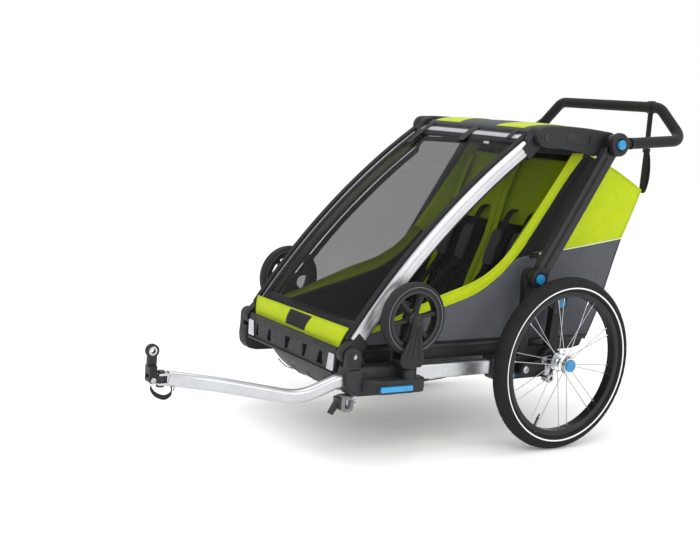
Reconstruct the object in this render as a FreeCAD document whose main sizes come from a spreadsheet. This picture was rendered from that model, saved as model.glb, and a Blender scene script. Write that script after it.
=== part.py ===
import FreeCAD, Part
import math
import os
import Sketcher
from FreeCAD import Placement, Rotation, Vector

# A folding two-seat child bicycle trailer. Millimetres. The front looks along -Y, the tow arm
# is on the trailer's left, which is +X, and +Z is up. The origin is on the ground, under the
# middle of the trailer's length with its tow arm out. Side outlines are given as (y, z), with y
# counted from the wheel axle, positive to the rear, and each piece is then moved by axle_y.

SIZES = [
    # place of the axle along the trailer
    ("axle_y", 387.25, "axle, from the middle of the whole length"),
    # road wheels
    ("wheel_radius", 250, "outside radius of a 20 inch tyre"),
    ("tyre_section", 23.5, "radius of the tyre's round section"),
    ("tyre_wall", 3.5, "thickness of the tyre's rubber"),
    ("rim_outer", 209.4, "radius of the rim's flanges"),
    ("rim_depth", 15, "height of the rim's section"),
    ("rim_half_width", 16.5, "half the width of the rim"),
    ("rim_wall", 2.2, "thickness of the rim's metal"),
    ("track_half", 362, "middle plane of a road wheel"),
    ("spoke_count", 20, "spokes in one wheel"),
    ("spoke_radius", 1.2, "radius of a spoke"),
    ("hub_flange_radius", 24, "radius of the hub's spoke flanges"),
    ("hub_barrel_radius", 13, "radius of the hub between its flanges"),
    ("hub_flange_gap", 15, "half the distance between the flanges"),
    ("hub_inner", 22, "hub's inner end, from the wheel's middle plane"),
    ("hub_outer", 27, "hub's outer end, from the wheel's middle plane"),
    ("axle_radius", 6, "radius of the stub axle"),
    ("running_fit", 0.08, "radial clearance of a shaft that turns in a bore"),
    ("hub_cap_radius", 22, "radius of the hub's end cap"),
    ("hub_cap_length", 6, "length of the hub's end cap"),
    ("hub_button_radius", 17, "radius of the wheel release button"),
    ("hub_button_stands", 4.5, "how far the wheel release button stands out"),
    # side planes, from the middle of the trailer outwards
    ("cabin_half", 238, "outside of the cabin's fabric sides"),
    ("fabric", 6, "thickness of a fabric wall as a plain solid"),
    ("pillar_gap", 8, "cabin side to front pillar"),
    ("pillar_thick", 26, "front pillar, across the trailer"),
    ("plane_gap", 3, "gap between neighbouring side planes"),
    ("link_thick", 22, "roof arms and uprights, across the trailer"),
    ("post_thick", 22, "rear posts, across the trailer"),
    # folding frame, as (y, z) of its four pivots
    ("foot_y", -670, "front pillar pivot"),
    ("foot_z", 291, "front pillar pivot"),
    ("elbow_y", -86, "front pillar to roof arm pivot"),
    ("elbow_z", 884, "front pillar to roof arm pivot"),
    ("hub_y", 160, "handlebar axis, at the roof arm's rear end"),
    ("hub_z", 877, "handlebar axis, at the roof arm's rear end"),
    ("lock_y", -83, "rear post pivot"),
    ("lock_z", 488, "rear post pivot"),
    ("pivot_radius", 6, "radius of the frame's pivot pins"),
    ("pillar_depth", 44, "front pillar, seen from the side"),
    ("pillar_bow", 40, "how far the front pillar bows forward"),
    ("pillar_wall", 2.5, "front pillar's wall"),
    ("foot_radius", 23, "radius of a front pillar's foot"),
    ("elbow_radius", 30, "radius of the roof arm's front end"),
    ("hub_radius", 33, "radius of the roof arm's rear end"),
    ("post_depth", 46, "rear post, seen from the side"),
    ("post_eye_clearance", 8, "rear post's top eye, round the handlebar axis bar"),
    ("bar_radius", 11, "radius of the cross bars of the roof"),
    # chassis
    ("rail_low", 215, "underside of the side rails"),
    ("rail_height", 40, "height of the side rails"),
    ("rail_thick", 30, "side rail, across the trailer"),
    ("rail_wall", 2, "side rail's wall"),
    ("rail_front", -600, "front end of the side rails"),
    ("rail_rear", -120, "rear end of the side rails"),
    ("socket_gap", 0.3, "clearance of a piece that is plugged into a socket"),
    ("casting_in", 254, "inner face of the corner castings"),
    ("front_casting_front", -690, "front end of the front castings"),
    ("front_casting_rear", -470, "rear end of the front castings"),
    ("front_casting_low", 184, "underside of the front castings"),
    ("casting_top", 262, "top of the corner castings"),
    ("rear_casting_front", -205, "front end of the rear castings"),
    ("rear_casting_rear", 30, "rear end of the rear castings"),
    ("rear_casting_low", 196, "underside of the rear castings"),
    ("front_tube_z", 248, "front cross tube"),
    ("front_tube_radius", 12, "front cross tube"),
    ("axle_tube_y", -12, "rear cross tube"),
    ("axle_tube_radius", 15, "rear cross tube"),
    ("tub_top", 288, "upper edge of the floor tub"),
    ("tub_low", 172, "underside of the foot well"),
    ("tub_rear", 212, "rear of the floor tub"),
    ("tub_step", 252, "underside of the tub behind the foot well"),
    ("tub_wall", 5, "wall of the floor tub"),
    # front
    ("bumper_half", 240, "half the width of the bumper"),
    ("bumper_low", 233, "lower edge of the bumper"),
    ("bumper_top", 300, "upper edge of the bumper"),
    ("bumper_thick", 12, "bumper, along the trailer"),
    ("strip_height", 44, "height of the padded front strip"),
    ("strip_thick", 14, "padded front strip, along the trailer"),
    ("reflector_radius", 15, "radius of a front reflector"),
    # suspension
    ("arm_pivot_y", -100, "trailing arm pivot"),
    ("arm_pivot_z", 228, "trailing arm pivot"),
    ("arm_depth", 34, "trailing arm, seen from the side"),
    ("knob_radius", 9, "radius of the suspension adjuster knob"),
    # handlebar
    ("grip_radius", 16.5, "radius of the handlebar's foam grip"),
    ("grip_x", 318, "middle of the handlebar's arms"),
    ("grip_corner_y", 445, "rear corners of the handlebar"),
    ("grip_corner_z", 902, "rear corners of the handlebar"),
    ("grip_cross_half", 216, "half the width of the handlebar's crossbar"),
    ("grip_cross_z", 996, "height of the handlebar's crossbar"),
    ("hub_cover_radius", 33, "radius of the handlebar's hub covers"),
    ("hub_cover_thick", 18, "handlebar's hub covers, across the trailer"),
    ("button_radius", 14, "radius of the frame's push buttons"),
    ("button_long", 14, "length of the frame's push buttons"),
    ("button_stands", 5, "how far the frame's push buttons stand out"),
    ("button_travel", 4, "travel of a push button"),
    ("button_gap", 0.4, "radial clearance of a push button"),
    ("strap_wide", 20, "width of the wrist strap"),
    ("strap_thick", 2, "thickness of the wrist strap"),
    ("strap_drop", 250, "how far the wrist strap hangs"),
    # front caster wheels, stowed upside down
    ("caster_x", 325, "middle plane of a caster wheel"),
    ("caster_y", -517, "caster wheel's axle and post"),
    ("caster_z", 392, "caster wheel's axle"),
    ("caster_radius", 97, "radius of a caster wheel"),
    ("caster_half_width", 16, "half the width of a caster wheel"),
    ("caster_rim_radius", 76, "radius of a caster wheel's rim"),
    ("caster_post_radius", 8, "radius of a caster's post"),
    ("caster_boss_radius", 17, "radius of a caster's socket"),
    ("caster_boss_low", 196, "underside of a caster's socket"),
    ("caster_boss_top", 258, "top of a caster's socket"),
    ("caster_leg_thick", 6, "thickness of a fork leg"),
    ("caster_shelf_out", 342, "outer face of the shelf under a caster"),
    ("caster_shelf_top", 232, "top of the shelf under a caster"),
    ("latch_half", 54, "half the length of a caster's release slide"),
    ("latch_lead", 44, "how far the release slide sits ahead of its caster"),
    ("latch_height", 14, "height of a caster's release slide"),
    ("latch_thick", 8, "thickness of a caster's release slide"),
    # tow arm
    ("tow_x", 272, "middle of the tow arm"),
    ("tow_z", 225, "tow arm in its socket"),
    ("tow_width", 28, "tow arm, across the trailer"),
    ("tow_height", 36, "tow arm, upright"),
    ("tow_wall", 2.5, "tow arm's wall"),
    ("tow_tip_y", -1180, "front end of the tow arm"),
    ("tow_tip_z", 265, "front end of the tow arm"),
    ("hitch_bore", 5.5, "radius of the hitch's hole for the bicycle's axle"),
    ("tow_pin_radius", 4, "radius of the tow arm's pin"),
    # soft pieces
    ("seat_height", 60, "thickness of the seat cushion"),
    ("roof_thick", 8, "roof fabric as a plain solid"),
]

doc = FreeCAD.newDocument("bicycle_trailer")
sheet = doc.addObject("Spreadsheet::Sheet", "Sizes")
for row, (name, value, meaning) in enumerate(SIZES, 1):
    sheet.set(f"A{row}", meaning)
    sheet.set(f"B{row}", str(value))
    sheet.setAlias(f"B{row}", name)
doc.recompute()


class Size:
    """A size: its number, and the expression over the sheet that gives the same number."""

    def __init__(self, number, text):
        self.number = float(number)
        self.text = text

    def __add__(self, other):
        other = size(other)
        return Size(self.number + other.number, f"({self.text} + {other.text})")

    def __sub__(self, other):
        other = size(other)
        return Size(self.number - other.number, f"({self.text} - {other.text})")

    def __mul__(self, other):
        other = size(other)
        return Size(self.number * other.number, f"({self.text} * {other.text})")

    def __truediv__(self, other):
        other = size(other)
        return Size(self.number / other.number, f"({self.text} / {other.text})")

    def __radd__(self, other):
        return size(other) + self

    def __rsub__(self, other):
        return size(other) - self

    def __rmul__(self, other):
        return size(other) * self

    def __neg__(self):
        return size(0) - self


def size(value):
    """A plain number as a Size, and a Size as it is."""
    if isinstance(value, Size):
        return value
    return Size(value, str(float(value)))


def root(value):
    return Size(math.sqrt(value.number), f"sqrt({value.text})")


class Sheet:
    """The sheet's cells as Sizes, by name."""

    def __getattr__(self, name):
        return Size(sheet.get(name), f"Sizes.{name}")


S = Sheet()
LEFT = 1
RIGHT = -1
SIDES = (("left", LEFT), ("right", RIGHT))
PLANES = {"plan": "XY_Plane", "front": "XZ_Plane", "side": "YZ_Plane"}
NODES = []


def bind(thing, name, value):
    """Ties one property of an object to the sheet."""
    thing.setExpression(name, size(value).text)


def place(thing, x=0, y=0, z=0):
    """Puts an object at a place that follows the sheet."""
    bind(thing, "Placement.Base.x", x)
    bind(thing, "Placement.Base.y", y)
    bind(thing, "Placement.Base.z", z)


def keep(thing, label):
    """Counts an object as one of the trailer's pieces."""
    thing.Label = label
    NODES.append(thing)
    return thing


def across(sign, inner, outer):
    """The span between two distances from the trailer's middle, on one side."""
    if sign == LEFT:
        return size(inner), size(outer)
    return -size(outer), -size(inner)


class Piece:
    """A PartDesign body. Its sketches are in the trailer's planes, from the axle's line."""

    def __init__(self, name, x=0, y=None, z=0):
        self.body = doc.addObject("PartDesign::Body", name)
        place(self.body, x, S.axle_y if y is None else y, z)

    def sketch(self, plane, offset):
        sketch = self.body.newObject("Sketcher::SketchObject", "Outline")
        features = self.body.Origin.OriginFeatures
        origin = [f for f in features if f.Role == PLANES[plane]][0]
        sketch.AttachmentSupport = [(origin, "")]
        sketch.MapMode = "FlatFace"
        # the front plane's own normal points to -Y
        bind(sketch, "AttachmentOffset.Base.z", -size(offset) if plane == "front" else offset)
        return sketch

    def outlined(self, plane, offset, points):
        sketch = self.sketch(plane, offset)
        corners = [(size(a), size(b)) for a, b in points]
        count = len(corners)
        for i in range(count):
            a, b = corners[i], corners[(i + 1) % count]
            start = Vector(a[0].number, a[1].number, 0)
            end = Vector(b[0].number, b[1].number, 0)
            sketch.addGeometry(Part.LineSegment(start, end))
        for i in range(count):
            sketch.addConstraint(Sketcher.Constraint("Coincident", i, 2, (i + 1) % count, 1))
        for i in range(count):
            pin_point(sketch, i, 1, corners[i])
        return sketch

    def circled(self, plane, offset, centre, radius):
        sketch = self.sketch(plane, offset)
        middle = (size(centre[0]), size(centre[1]))
        at = Vector(middle[0].number, middle[1].number, 0)
        sketch.addGeometry(Part.Circle(at, Vector(0, 0, 1), size(radius).number))
        pin_point(sketch, 0, 3, middle)
        index = sketch.addConstraint(Sketcher.Constraint("Radius", 0, size(radius).number))
        sketch.setExpression(f"Constraints[{index}]", size(radius).text)
        return sketch

    def pad(self, plane, points, span):
        """Material inside an outline, from span[0] to span[1] along the plane's normal."""
        low, high = span
        return self.add(self.outlined(plane, high if plane == "front" else low, points), span)

    def disc(self, plane, centre, radius, span):
        low, high = span
        return self.add(self.circled(plane, high if plane == "front" else low, centre, radius), span)

    def cut(self, plane, points, span):
        """Takes away what is inside an outline, between the two ends of the span."""
        low, high = span
        return self.take(self.outlined(plane, low if plane == "front" else high, points), span)

    def bore(self, plane, centre, radius, span):
        low, high = span
        return self.take(self.circled(plane, low if plane == "front" else high, centre, radius), span)

    def add(self, sketch, span):
        pad = self.body.newObject("PartDesign::Pad", "Pad")
        pad.Profile = sketch
        bind(pad, "Length", span[1] - span[0])
        return self

    def take(self, sketch, span):
        pocket = self.body.newObject("PartDesign::Pocket", "Pocket")
        pocket.Profile = sketch
        bind(pocket, "Length", span[1] - span[0])
        return self

    def turned(self, points):
        """A revolution about the X axis through the body's own origin; points are (x, radius)."""
        turn = self.body.newObject("PartDesign::Revolution", "Turned")
        turn.Profile = self.outlined("front", 0, points)
        axis = [f for f in self.body.Origin.OriginFeatures if f.Role == "X_Axis"][0]
        turn.ReferenceAxis = (axis, [""])
        turn.Angle = 360
        return self

    def softened(self, direction, radius):
        """Rounds the straight edges that run along one direction."""
        doc.recompute()
        base = self.body.Tip
        edges = []
        for number, edge in enumerate(base.Shape.Edges, 1):
            if edge.Curve.TypeId != "Part::GeomLine":
                continue
            along = edge.Vertexes[1].Point - edge.Vertexes[0].Point
            if abs(along.normalize().dot(direction)) > 0.999:
                edges.append(f"Edge{number}")
        fillet = self.body.newObject("PartDesign::Fillet", "Rounded")
        fillet.Base = (base, edges)
        bind(fillet, "Radius", radius)
        return self

    def done(self, label=None):
        if label:
            keep(self.body, label)
        return self.body


def pin_point(sketch, geometry, end, point):
    """Ties a point of a sketch to its two coordinates."""
    for kind, value in zip(("DistanceX", "DistanceY"), point):
        constraint = Sketcher.Constraint(kind, -1, 1, geometry, end, value.number)
        index = sketch.addConstraint(constraint)
        sketch.setExpression(f"Constraints[{index}]", value.text)


def group(label, things):
    """Several separate solids as one piece."""
    compound = doc.addObject("Part::Compound", label)
    compound.Links = things
    return keep(compound, label)


def along(start, end, run, rise):
    """The point at a distance along the line between two pivots, and off it to the front."""
    dy, dz = end[0] - start[0], end[1] - start[1]
    length = root(dy * dy + dz * dz)
    uy, uz = dy / length, dz / length
    return start[0] + uy * run - uz * rise, start[1] + uz * run + uy * rise


def distance(start, end):
    dy, dz = end[0] - start[0], end[1] - start[1]
    return root(dy * dy + dz * dz)


def box_outline(low_a, low_b, high_a, high_b):
    return [(low_a, low_b), (high_a, low_b), (high_a, high_b), (low_a, high_b)]


def solid(label, shape, x=0, y=0, z=0):
    """A piece whose shape is made by Part's own functions."""
    feature = doc.addObject("Part::Feature", label)
    feature.Shape = shape
    feature.Placement = Placement(
        Vector(size(x).number, size(y).number, size(z).number), Rotation()
    )
    return keep(feature, label)


def bent_path(points, radii):
    """Straight runs joined by tangent arcs; one radius for each point between the ends."""
    edges = []
    last = points[0]
    for before, corner, after, radius in zip(points, points[1:], points[2:], radii):
        back = (before - corner).normalize()
        on = (after - corner).normalize()
        half_turn = (math.pi - back.getAngle(on)) / 2
        reach = radius * math.tan(half_turn)
        start, end = corner + back * reach, corner + on * reach
        inward = (back + on).normalize()
        middle = corner + inward * (radius / math.cos(half_turn) - radius)
        edges.append(Part.LineSegment(last, start).toShape())
        edges.append(Part.Arc(start, middle, end).toShape())
        last = end
    edges.append(Part.LineSegment(last, points[-1]).toShape())
    return Part.Wire(edges)


def round_tube(points, radii, radius):
    path = Part.Wire(bent_path(points, radii))
    ring = Part.makeCircle(radius, points[0], points[1] - points[0])
    return path.makePipeShell([Part.Wire([ring])], True, True)


def rounded_section(centre, direction, width, height, corner):
    """A rectangle with rounded corners, square to a direction in the side plane."""
    right = Vector(1, 0, 0)
    up = direction.cross(right).normalize()
    a, b = width / 2, height / 2
    edges = []
    corners = [(-a, -b), (a, -b), (a, b), (-a, b)]
    diagonal = corner * (1 - math.sqrt(0.5))
    for i, (u, v) in enumerate(corners):
        nu, nv = corners[(i + 1) % 4]
        step = Vector(nu - u, nv - v, 0).normalize()
        nnu, nnv = corners[(i + 2) % 4]
        turn = Vector(nnu - nu, nnv - nv, 0).normalize()
        start = Vector(u, v, 0) + step * corner
        end = Vector(nu, nv, 0) - step * corner
        edges.append(Part.LineSegment(start, end).toShape())
        after = Vector(nu, nv, 0) + turn * corner
        middle = Vector(nu, nv, 0) + (turn - step) * diagonal
        edges.append(Part.Arc(end, middle, after).toShape())
    wire = Part.Wire(edges)
    matrix = FreeCAD.Matrix(
        right.x, up.x, direction.x, centre.x,
        right.y, up.y, direction.y, centre.y,
        right.z, up.z, direction.z, centre.z,
        0, 0, 0, 1,
    )
    wire.transformShape(matrix)
    return wire


# Side planes, from the cabin outwards: front pillar, roof arm and upright, rear post.
pillar_in = S.cabin_half + S.pillar_gap
pillar_out = pillar_in + S.pillar_thick
link_in = pillar_out + S.plane_gap
link_out = link_in + S.link_thick
post_in = link_out + S.plane_gap
post_out = post_in + S.post_thick
cover_in = post_out + S.plane_gap
cover_out = cover_in + S.hub_cover_thick
FOOT = (S.foot_y, S.foot_z)
ELBOW = (S.elbow_y, S.elbow_z)
HUB = (S.hub_y, S.hub_z)
LOCK = (S.lock_y, S.lock_z)
pivot_bore = S.pivot_radius + S.running_fit
rail_top = S.rail_low + S.rail_height
rail_mid = (S.casting_in + link_out) / 2
front_tube_y = S.front_casting_front + S.bumper_thick + S.front_tube_radius + S.socket_gap
axle_tube_z = S.tub_step - S.socket_gap - S.axle_tube_radius
tub_front = front_tube_y + S.front_tube_radius + S.socket_gap
soft_low = S.tub_top + S.socket_gap
cabin_inner = S.cabin_half - S.fabric


def side_rail(sign):
    """A square tube between the two corner castings of one side."""
    rail = Piece("rail")
    inner, outer = rail_mid - S.rail_thick / 2, rail_mid + S.rail_thick / 2
    outline = box_outline(S.rail_front, S.rail_low, S.rail_rear, rail_top)
    rail.pad("side", outline, across(sign, inner, outer))
    rail.softened(Vector(0, 1, 0), 4)
    low, high = across(sign, inner + S.rail_wall, outer - S.rail_wall)
    hollow = box_outline(low, S.rail_low + S.rail_wall, high, rail_top - S.rail_wall)
    rail.cut("front", hollow, (S.rail_front, S.rail_rear))
    return rail.done()


def rail_socket(casting, sign, start, end):
    """The hole in a casting that a side rail is plugged into."""
    half = S.rail_thick / 2 + S.socket_gap
    low, high = across(sign, rail_mid - half, rail_mid + half)
    hole = box_outline(low, S.rail_low - S.socket_gap, high, rail_top + S.socket_gap)
    casting.cut("front", hole, (start, end))


def front_casting(sign):
    """The corner block that holds the rail, the front pillar's pin, the caster and the tow arm."""
    casting = Piece("front_casting")
    low, front, rear = S.front_casting_low, S.front_casting_front, S.front_casting_rear
    outline = [(front, S.casting_top), (front, low + 26), (front + 30, low), (rear - 50, low),
               (rear, low + 26), (rear, S.casting_top)]
    block = across(sign, S.casting_in, link_out)
    casting.pad("side", outline, block)
    casting.softened(Vector(1, 0, 0), 7)
    ear = across(sign, link_in, link_out)
    casting.disc("side", FOOT, S.foot_radius - 1, ear)
    web = box_outline(S.foot_y - 18, S.casting_top - 8, S.foot_y + 18, S.foot_z)
    casting.pad("side", web, ear)
    boss = (size(sign) * S.caster_x, S.caster_y)
    boss_span = (S.caster_boss_low, S.caster_boss_top)
    casting.disc("plan", boss, S.caster_boss_radius, boss_span)
    low_x, high_x = across(sign, link_out - 6, S.caster_shelf_out)
    shelf_front = S.caster_y - S.latch_lead - S.latch_half - 8
    shelf = box_outline(low_x, shelf_front, high_x, S.caster_y + S.latch_half)
    casting.pad("plan", shelf, (S.caster_boss_low, S.caster_shelf_top))
    # the caster's post stands in a blind hole
    hole = (S.caster_boss_low + 6, S.caster_boss_top)
    casting.bore("plan", boss, S.caster_post_radius + S.socket_gap, hole)
    rail_socket(casting, sign, S.rail_front - S.socket_gap, rear)
    casting.bore("side", FOOT, S.pivot_radius, ear)
    if sign == LEFT:
        # the tow arm is plugged in from the front and held by an upright pin
        half = S.tow_width / 2 + S.socket_gap
        rise = S.tow_height / 2 + S.socket_gap
        socket = box_outline(S.tow_x - half, S.tow_z - rise, S.tow_x + half, S.tow_z + rise)
        casting.cut("front", socket, (front, S.rail_front - 14))
        pin_hole = (S.tow_x, S.front_casting_front + 40)
        pin_span = (low - 5, S.casting_top)
        casting.bore("plan", pin_hole, S.tow_pin_radius + S.running_fit, pin_span)
    return casting.done()


def rear_casting(sign):
    """The block that holds the rail's rear end, the axle tube, the upright and the arm's pin."""
    casting = Piece("rear_casting")
    front, rear, low = S.rear_casting_front, S.rear_casting_rear, S.rear_casting_low
    outline = [(front, low + 18), (front + 20, low), (rear, low), (rear, S.casting_top), (front, S.casting_top)]
    casting.pad("side", outline, across(sign, S.casting_in, link_out))
    casting.softened(Vector(1, 0, 0), 6)
    rail_socket(casting, sign, front, S.rail_rear + S.socket_gap)
    pivot = (S.arm_pivot_y, S.arm_pivot_z)
    casting.bore("side", pivot, S.pivot_radius, across(sign, link_in, link_out))
    return casting.done()


def upright(sign):
    """The plate over the rear casting that carries the rear post's pivot and its second lock."""
    plate = Piece("upright")
    span = across(sign, link_in, link_out)
    foot = S.casting_top
    outline = [(S.lock_y - 26, foot), (S.lock_y + 110, foot), (S.lock_y + 132, S.lock_z - 75),
               (S.lock_y + 22, S.lock_z + 8), (S.lock_y - 22, S.lock_z + 8)]
    plate.pad("side", outline, span)
    window = [(S.lock_y + 4, foot + 26), (S.lock_y + 84, foot + 26), (S.lock_y + 92, S.lock_z - 96),
              (S.lock_y + 10, S.lock_z - 46)]
    plate.cut("side", window, span)
    plate.disc("side", LOCK, 27, span)
    plate.disc("side", release_at(), 24, span)
    pocket = across(sign, link_out - S.button_long, link_out)
    plate.bore("side", release_at(), S.button_radius + S.button_gap, pocket)
    plate.bore("side", LOCK, S.pivot_radius, across(sign, link_in, link_out))
    return plate.done()


def release_at():
    """The upright's own button, beside the post's pivot."""
    return S.lock_y + 118, S.lock_z - 75


def pin_across(sign, point, radius, inner, outer, name="pin"):
    """A plain pin along X between two distances from the middle."""
    low, high = across(sign, inner, outer)
    pin = doc.addObject("Part::Cylinder", name)
    bind(pin, "Radius", radius)
    bind(pin, "Height", high - low)
    place(pin, low, S.axle_y + point[0], point[1])
    pin.Placement.Rotation = Rotation(Vector(0, 1, 0), 90)
    return pin


def pin_along_x(label, point, radius, low, high):
    """A plain cylinder along X, from one place to another."""
    pin = doc.addObject("Part::Cylinder", label)
    bind(pin, "Radius", radius)
    bind(pin, "Height", size(high) - low)
    place(pin, low, S.axle_y + point[0], point[1])
    pin.Placement.Rotation = Rotation(Vector(0, 1, 0), 90)
    return pin


group("side_rails", [side_rail(sign) for _, sign in SIDES])
group("front_castings", [front_casting(sign) for _, sign in SIDES])
group("rear_castings", [rear_casting(sign) for _, sign in SIDES])
group("uprights", [upright(sign) for _, sign in SIDES])

foot_pins = [pin_across(sign, FOOT, S.pivot_radius, pillar_in + 1, link_out + 3) for _, sign in SIDES]
lock_pins = [pin_across(sign, LOCK, S.pivot_radius, link_in, post_out - 6) for _, sign in SIDES]
arm_point = (S.arm_pivot_y, S.arm_pivot_z)
arm_pins = [pin_across(sign, arm_point, S.pivot_radius, link_in, post_out + 2) for _, sign in SIDES]
group("pivot_pins", foot_pins + lock_pins + arm_pins)

front_tube_at = (front_tube_y, S.front_tube_z)
front_tube = pin_along_x("front_tube", front_tube_at, S.front_tube_radius, -S.casting_in, S.casting_in)
axle_tube_at = (S.axle_tube_y, axle_tube_z)
axle_tube = pin_along_x("axle_tube", axle_tube_at, S.axle_tube_radius, -S.casting_in, S.casting_in)
group("cross_tubes", [front_tube, axle_tube])


def floor_tub():
    """The cabin's floor: a foot well in front, a step up to the seat, walls all round."""
    tub = Piece("floor_tub")
    front, rear, top, low, step = tub_front, S.tub_rear, S.tub_top, S.tub_low, S.tub_step
    wall = S.tub_wall
    outline = [(front, top), (front, top - 50), (front + 24, low + 22), (front + 90, low), (-190, low),
               (-90, step), (rear - 50, step), (rear, top - 6), (rear, top)]
    tub.pad("side", outline, across(LEFT, -S.cabin_half, S.cabin_half))
    inner = [(front + wall, top), (front + wall, top - 49), (front + 28, low + 26),
             (front + 91, low + wall), (-192, low + wall), (-92, step + wall),
             (rear - 52, step + wall), (rear - wall, top - 5), (rear - wall, top)]
    tub.cut("side", inner, across(LEFT, wall - S.cabin_half, S.cabin_half - wall))
    return tub.done("floor_tub")


def front_bumper():
    """A ribbed board across the front, with three-cornered openings."""
    board = Piece("front_bumper")
    front = S.front_casting_front
    span = (front, front + S.bumper_thick)
    half, low, top = S.bumper_half, S.bumper_low, S.bumper_top
    board.pad("front", box_outline(-half, low, half, top), span)
    board.softened(Vector(0, 1, 0), 8)
    for middle in (-0.36, -0.12, 0.12, 0.36):
        x = half * 2 * middle
        board.cut("front", [(x - 34, low + 14), (x + 34, low + 14), (x, top - 16)], span)
    return board.done("front_bumper")


def padded_strip():
    strip = Piece("front_strip")
    front = S.front_casting_front
    low = S.bumper_top + S.socket_gap
    outline = box_outline(-S.bumper_half, low, S.bumper_half, low + S.strip_height)
    strip.pad("front", outline, (front, front + S.strip_thick))
    strip.softened(Vector(1, 0, 0), 5)
    return strip.done("front_strip")


def front_reflectors():
    discs = []
    for _, sign in SIDES:
        disc = Piece("reflector")
        front = S.front_casting_front
        at = (size(sign) * (S.bumper_half - 21), (S.bumper_low + S.bumper_top) / 2)
        disc.disc("front", at, S.reflector_radius, (front - 6, front))
        discs.append(disc.done())
    return group("front_reflectors", discs)


floor_tub()
front_bumper()
padded_strip()
front_reflectors()


# Front frame: two bowed pillars, the bar across their tops and the cover between them.
def front_pillar(name, sign):
    """A bowed hollow pillar with a round eye at each end."""
    length = distance(FOOT, ELBOW).number
    low, high = across(sign, pillar_in, pillar_out)
    middle_x = (low.number + high.number) / 2
    axle = S.axle_y.number

    def at(run, rise):
        y, z = along(FOOT, ELBOW, size(run), size(rise))
        return Vector(middle_x, y.number + axle, z.number)

    bow = S.pillar_bow.number
    def bowed_bar(depth, thick, left_x):
        """A bar between two parallel arcs, padded along X."""
        edges = [Part.Arc(at(0, -depth / 2), at(length / 2, bow - depth / 2), at(length, -depth / 2)),
                 Part.LineSegment(at(length, -depth / 2), at(length, depth / 2)),
                 Part.Arc(at(length, depth / 2), at(length / 2, bow + depth / 2), at(0, depth / 2)),
                 Part.LineSegment(at(0, depth / 2), at(0, -depth / 2))]
        face = Part.Face(Part.Wire([edge.toShape() for edge in edges]))
        face.translate(Vector(left_x - middle_x, 0, 0))
        return face.extrude(Vector(thick, 0, 0))

    start, end = at(0, 0), at(length, 0)
    thick, depth, wall = S.pillar_thick.number, S.pillar_depth.number, S.pillar_wall.number
    body = bowed_bar(depth, thick, low.number)
    body = body.cut(bowed_bar(depth - 2 * wall, thick - 2 * wall, low.number + wall))
    sideways = Vector(1, 0, 0)
    left_x = low.number
    base = Vector(left_x, start.y, start.z)
    foot = Part.makeCylinder(S.foot_radius.number, thick, base, sideways)
    top = Part.makeCylinder(S.foot_radius.number, thick, Vector(left_x, end.y, end.z), sideways)
    shape = body.fuse([foot, top])
    foot_bore = Part.makeCylinder(pivot_bore.number, thick, base, sideways)
    bar_bore = Part.makeCylinder(S.bar_radius.number, thick, Vector(left_x, end.y, end.z), sideways)
    return solid(name, shape.cut([foot_bore, bar_bore]).removeSplitter())


for side, sign in SIDES:
    front_pillar(f"front_pillar_{side}", sign)
front_bar_reach = link_out + 2
front_bar = pin_along_x("front_bar", ELBOW, S.bar_radius, -front_bar_reach, front_bar_reach)
keep(front_bar, "front_roof_bar")


def front_cover():
    """The cover of fabric and clear film between the front pillars."""
    cover = Piece("front_cover")
    length = distance(FOOT, ELBOW)
    rise = 6
    bow = S.pillar_bow
    stations = [(size(75), 0.33), (length * 0.3, 0.84), (length * 0.5, 1.0), (length * 0.7, 0.84), (length - 60, 0.27)]
    outline = [along(FOOT, ELBOW, run, rise + bow * share) for run, share in stations]
    outline += [along(FOOT, ELBOW, run, rise + bow * share + S.fabric) for run, share in reversed(stations)]
    half = pillar_in - S.socket_gap
    cover.pad("side", outline, (-half, half))
    return cover.done("front_cover")


front_cover()


# Roof frame: the two roof arms, the bar across their rear ends and the roof fabric.
def roof_arm(side, sign):
    arm = Piece("roof_arm")
    span = across(sign, link_in, link_out)
    arm.disc("side", ELBOW, S.elbow_radius, span)
    arm.disc("side", HUB, S.hub_radius, span)
    web = [(S.elbow_y, S.elbow_z - 26), (S.hub_y - 40, S.hub_z - 22), (S.hub_y, S.hub_z - 20),
           (S.hub_y, S.hub_z + 30), (S.elbow_y, S.elbow_z + 27)]
    arm.pad("side", web, span)
    arm.bore("side", ELBOW, S.bar_radius + S.running_fit, span)
    arm.bore("side", HUB, S.bar_radius, span)
    return arm.done(f"roof_arm_{side}")


for side, sign in SIDES:
    roof_arm(side, sign)
roof_bar_reach = cover_in + 5
roof_bar = pin_along_x("roof_bar", HUB, S.bar_radius, -roof_bar_reach, roof_bar_reach)
keep(roof_bar, "rear_roof_bar")


def roof_fabric():
    roof = Piece("roof_fabric")
    thick = S.roof_thick
    front = S.elbow_y - 6
    rest = S.bar_radius + S.socket_gap
    outline = [(front, S.elbow_z + rest + 1), (S.elbow_y + 45, S.elbow_z + 25),
               (S.hub_y - 60, S.hub_z + 32), (S.hub_y, S.hub_z + rest), (S.hub_y, S.hub_z + rest + thick),
               (S.hub_y - 60, S.hub_z + 32 + thick), (S.elbow_y + 45, S.elbow_z + 25 + thick),
               (front, S.elbow_z + rest + 1 + thick)]
    half = pillar_in - 2
    roof.pad("side", outline, (-half, half))
    return roof.done("roof_fabric")


roof_fabric()


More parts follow.
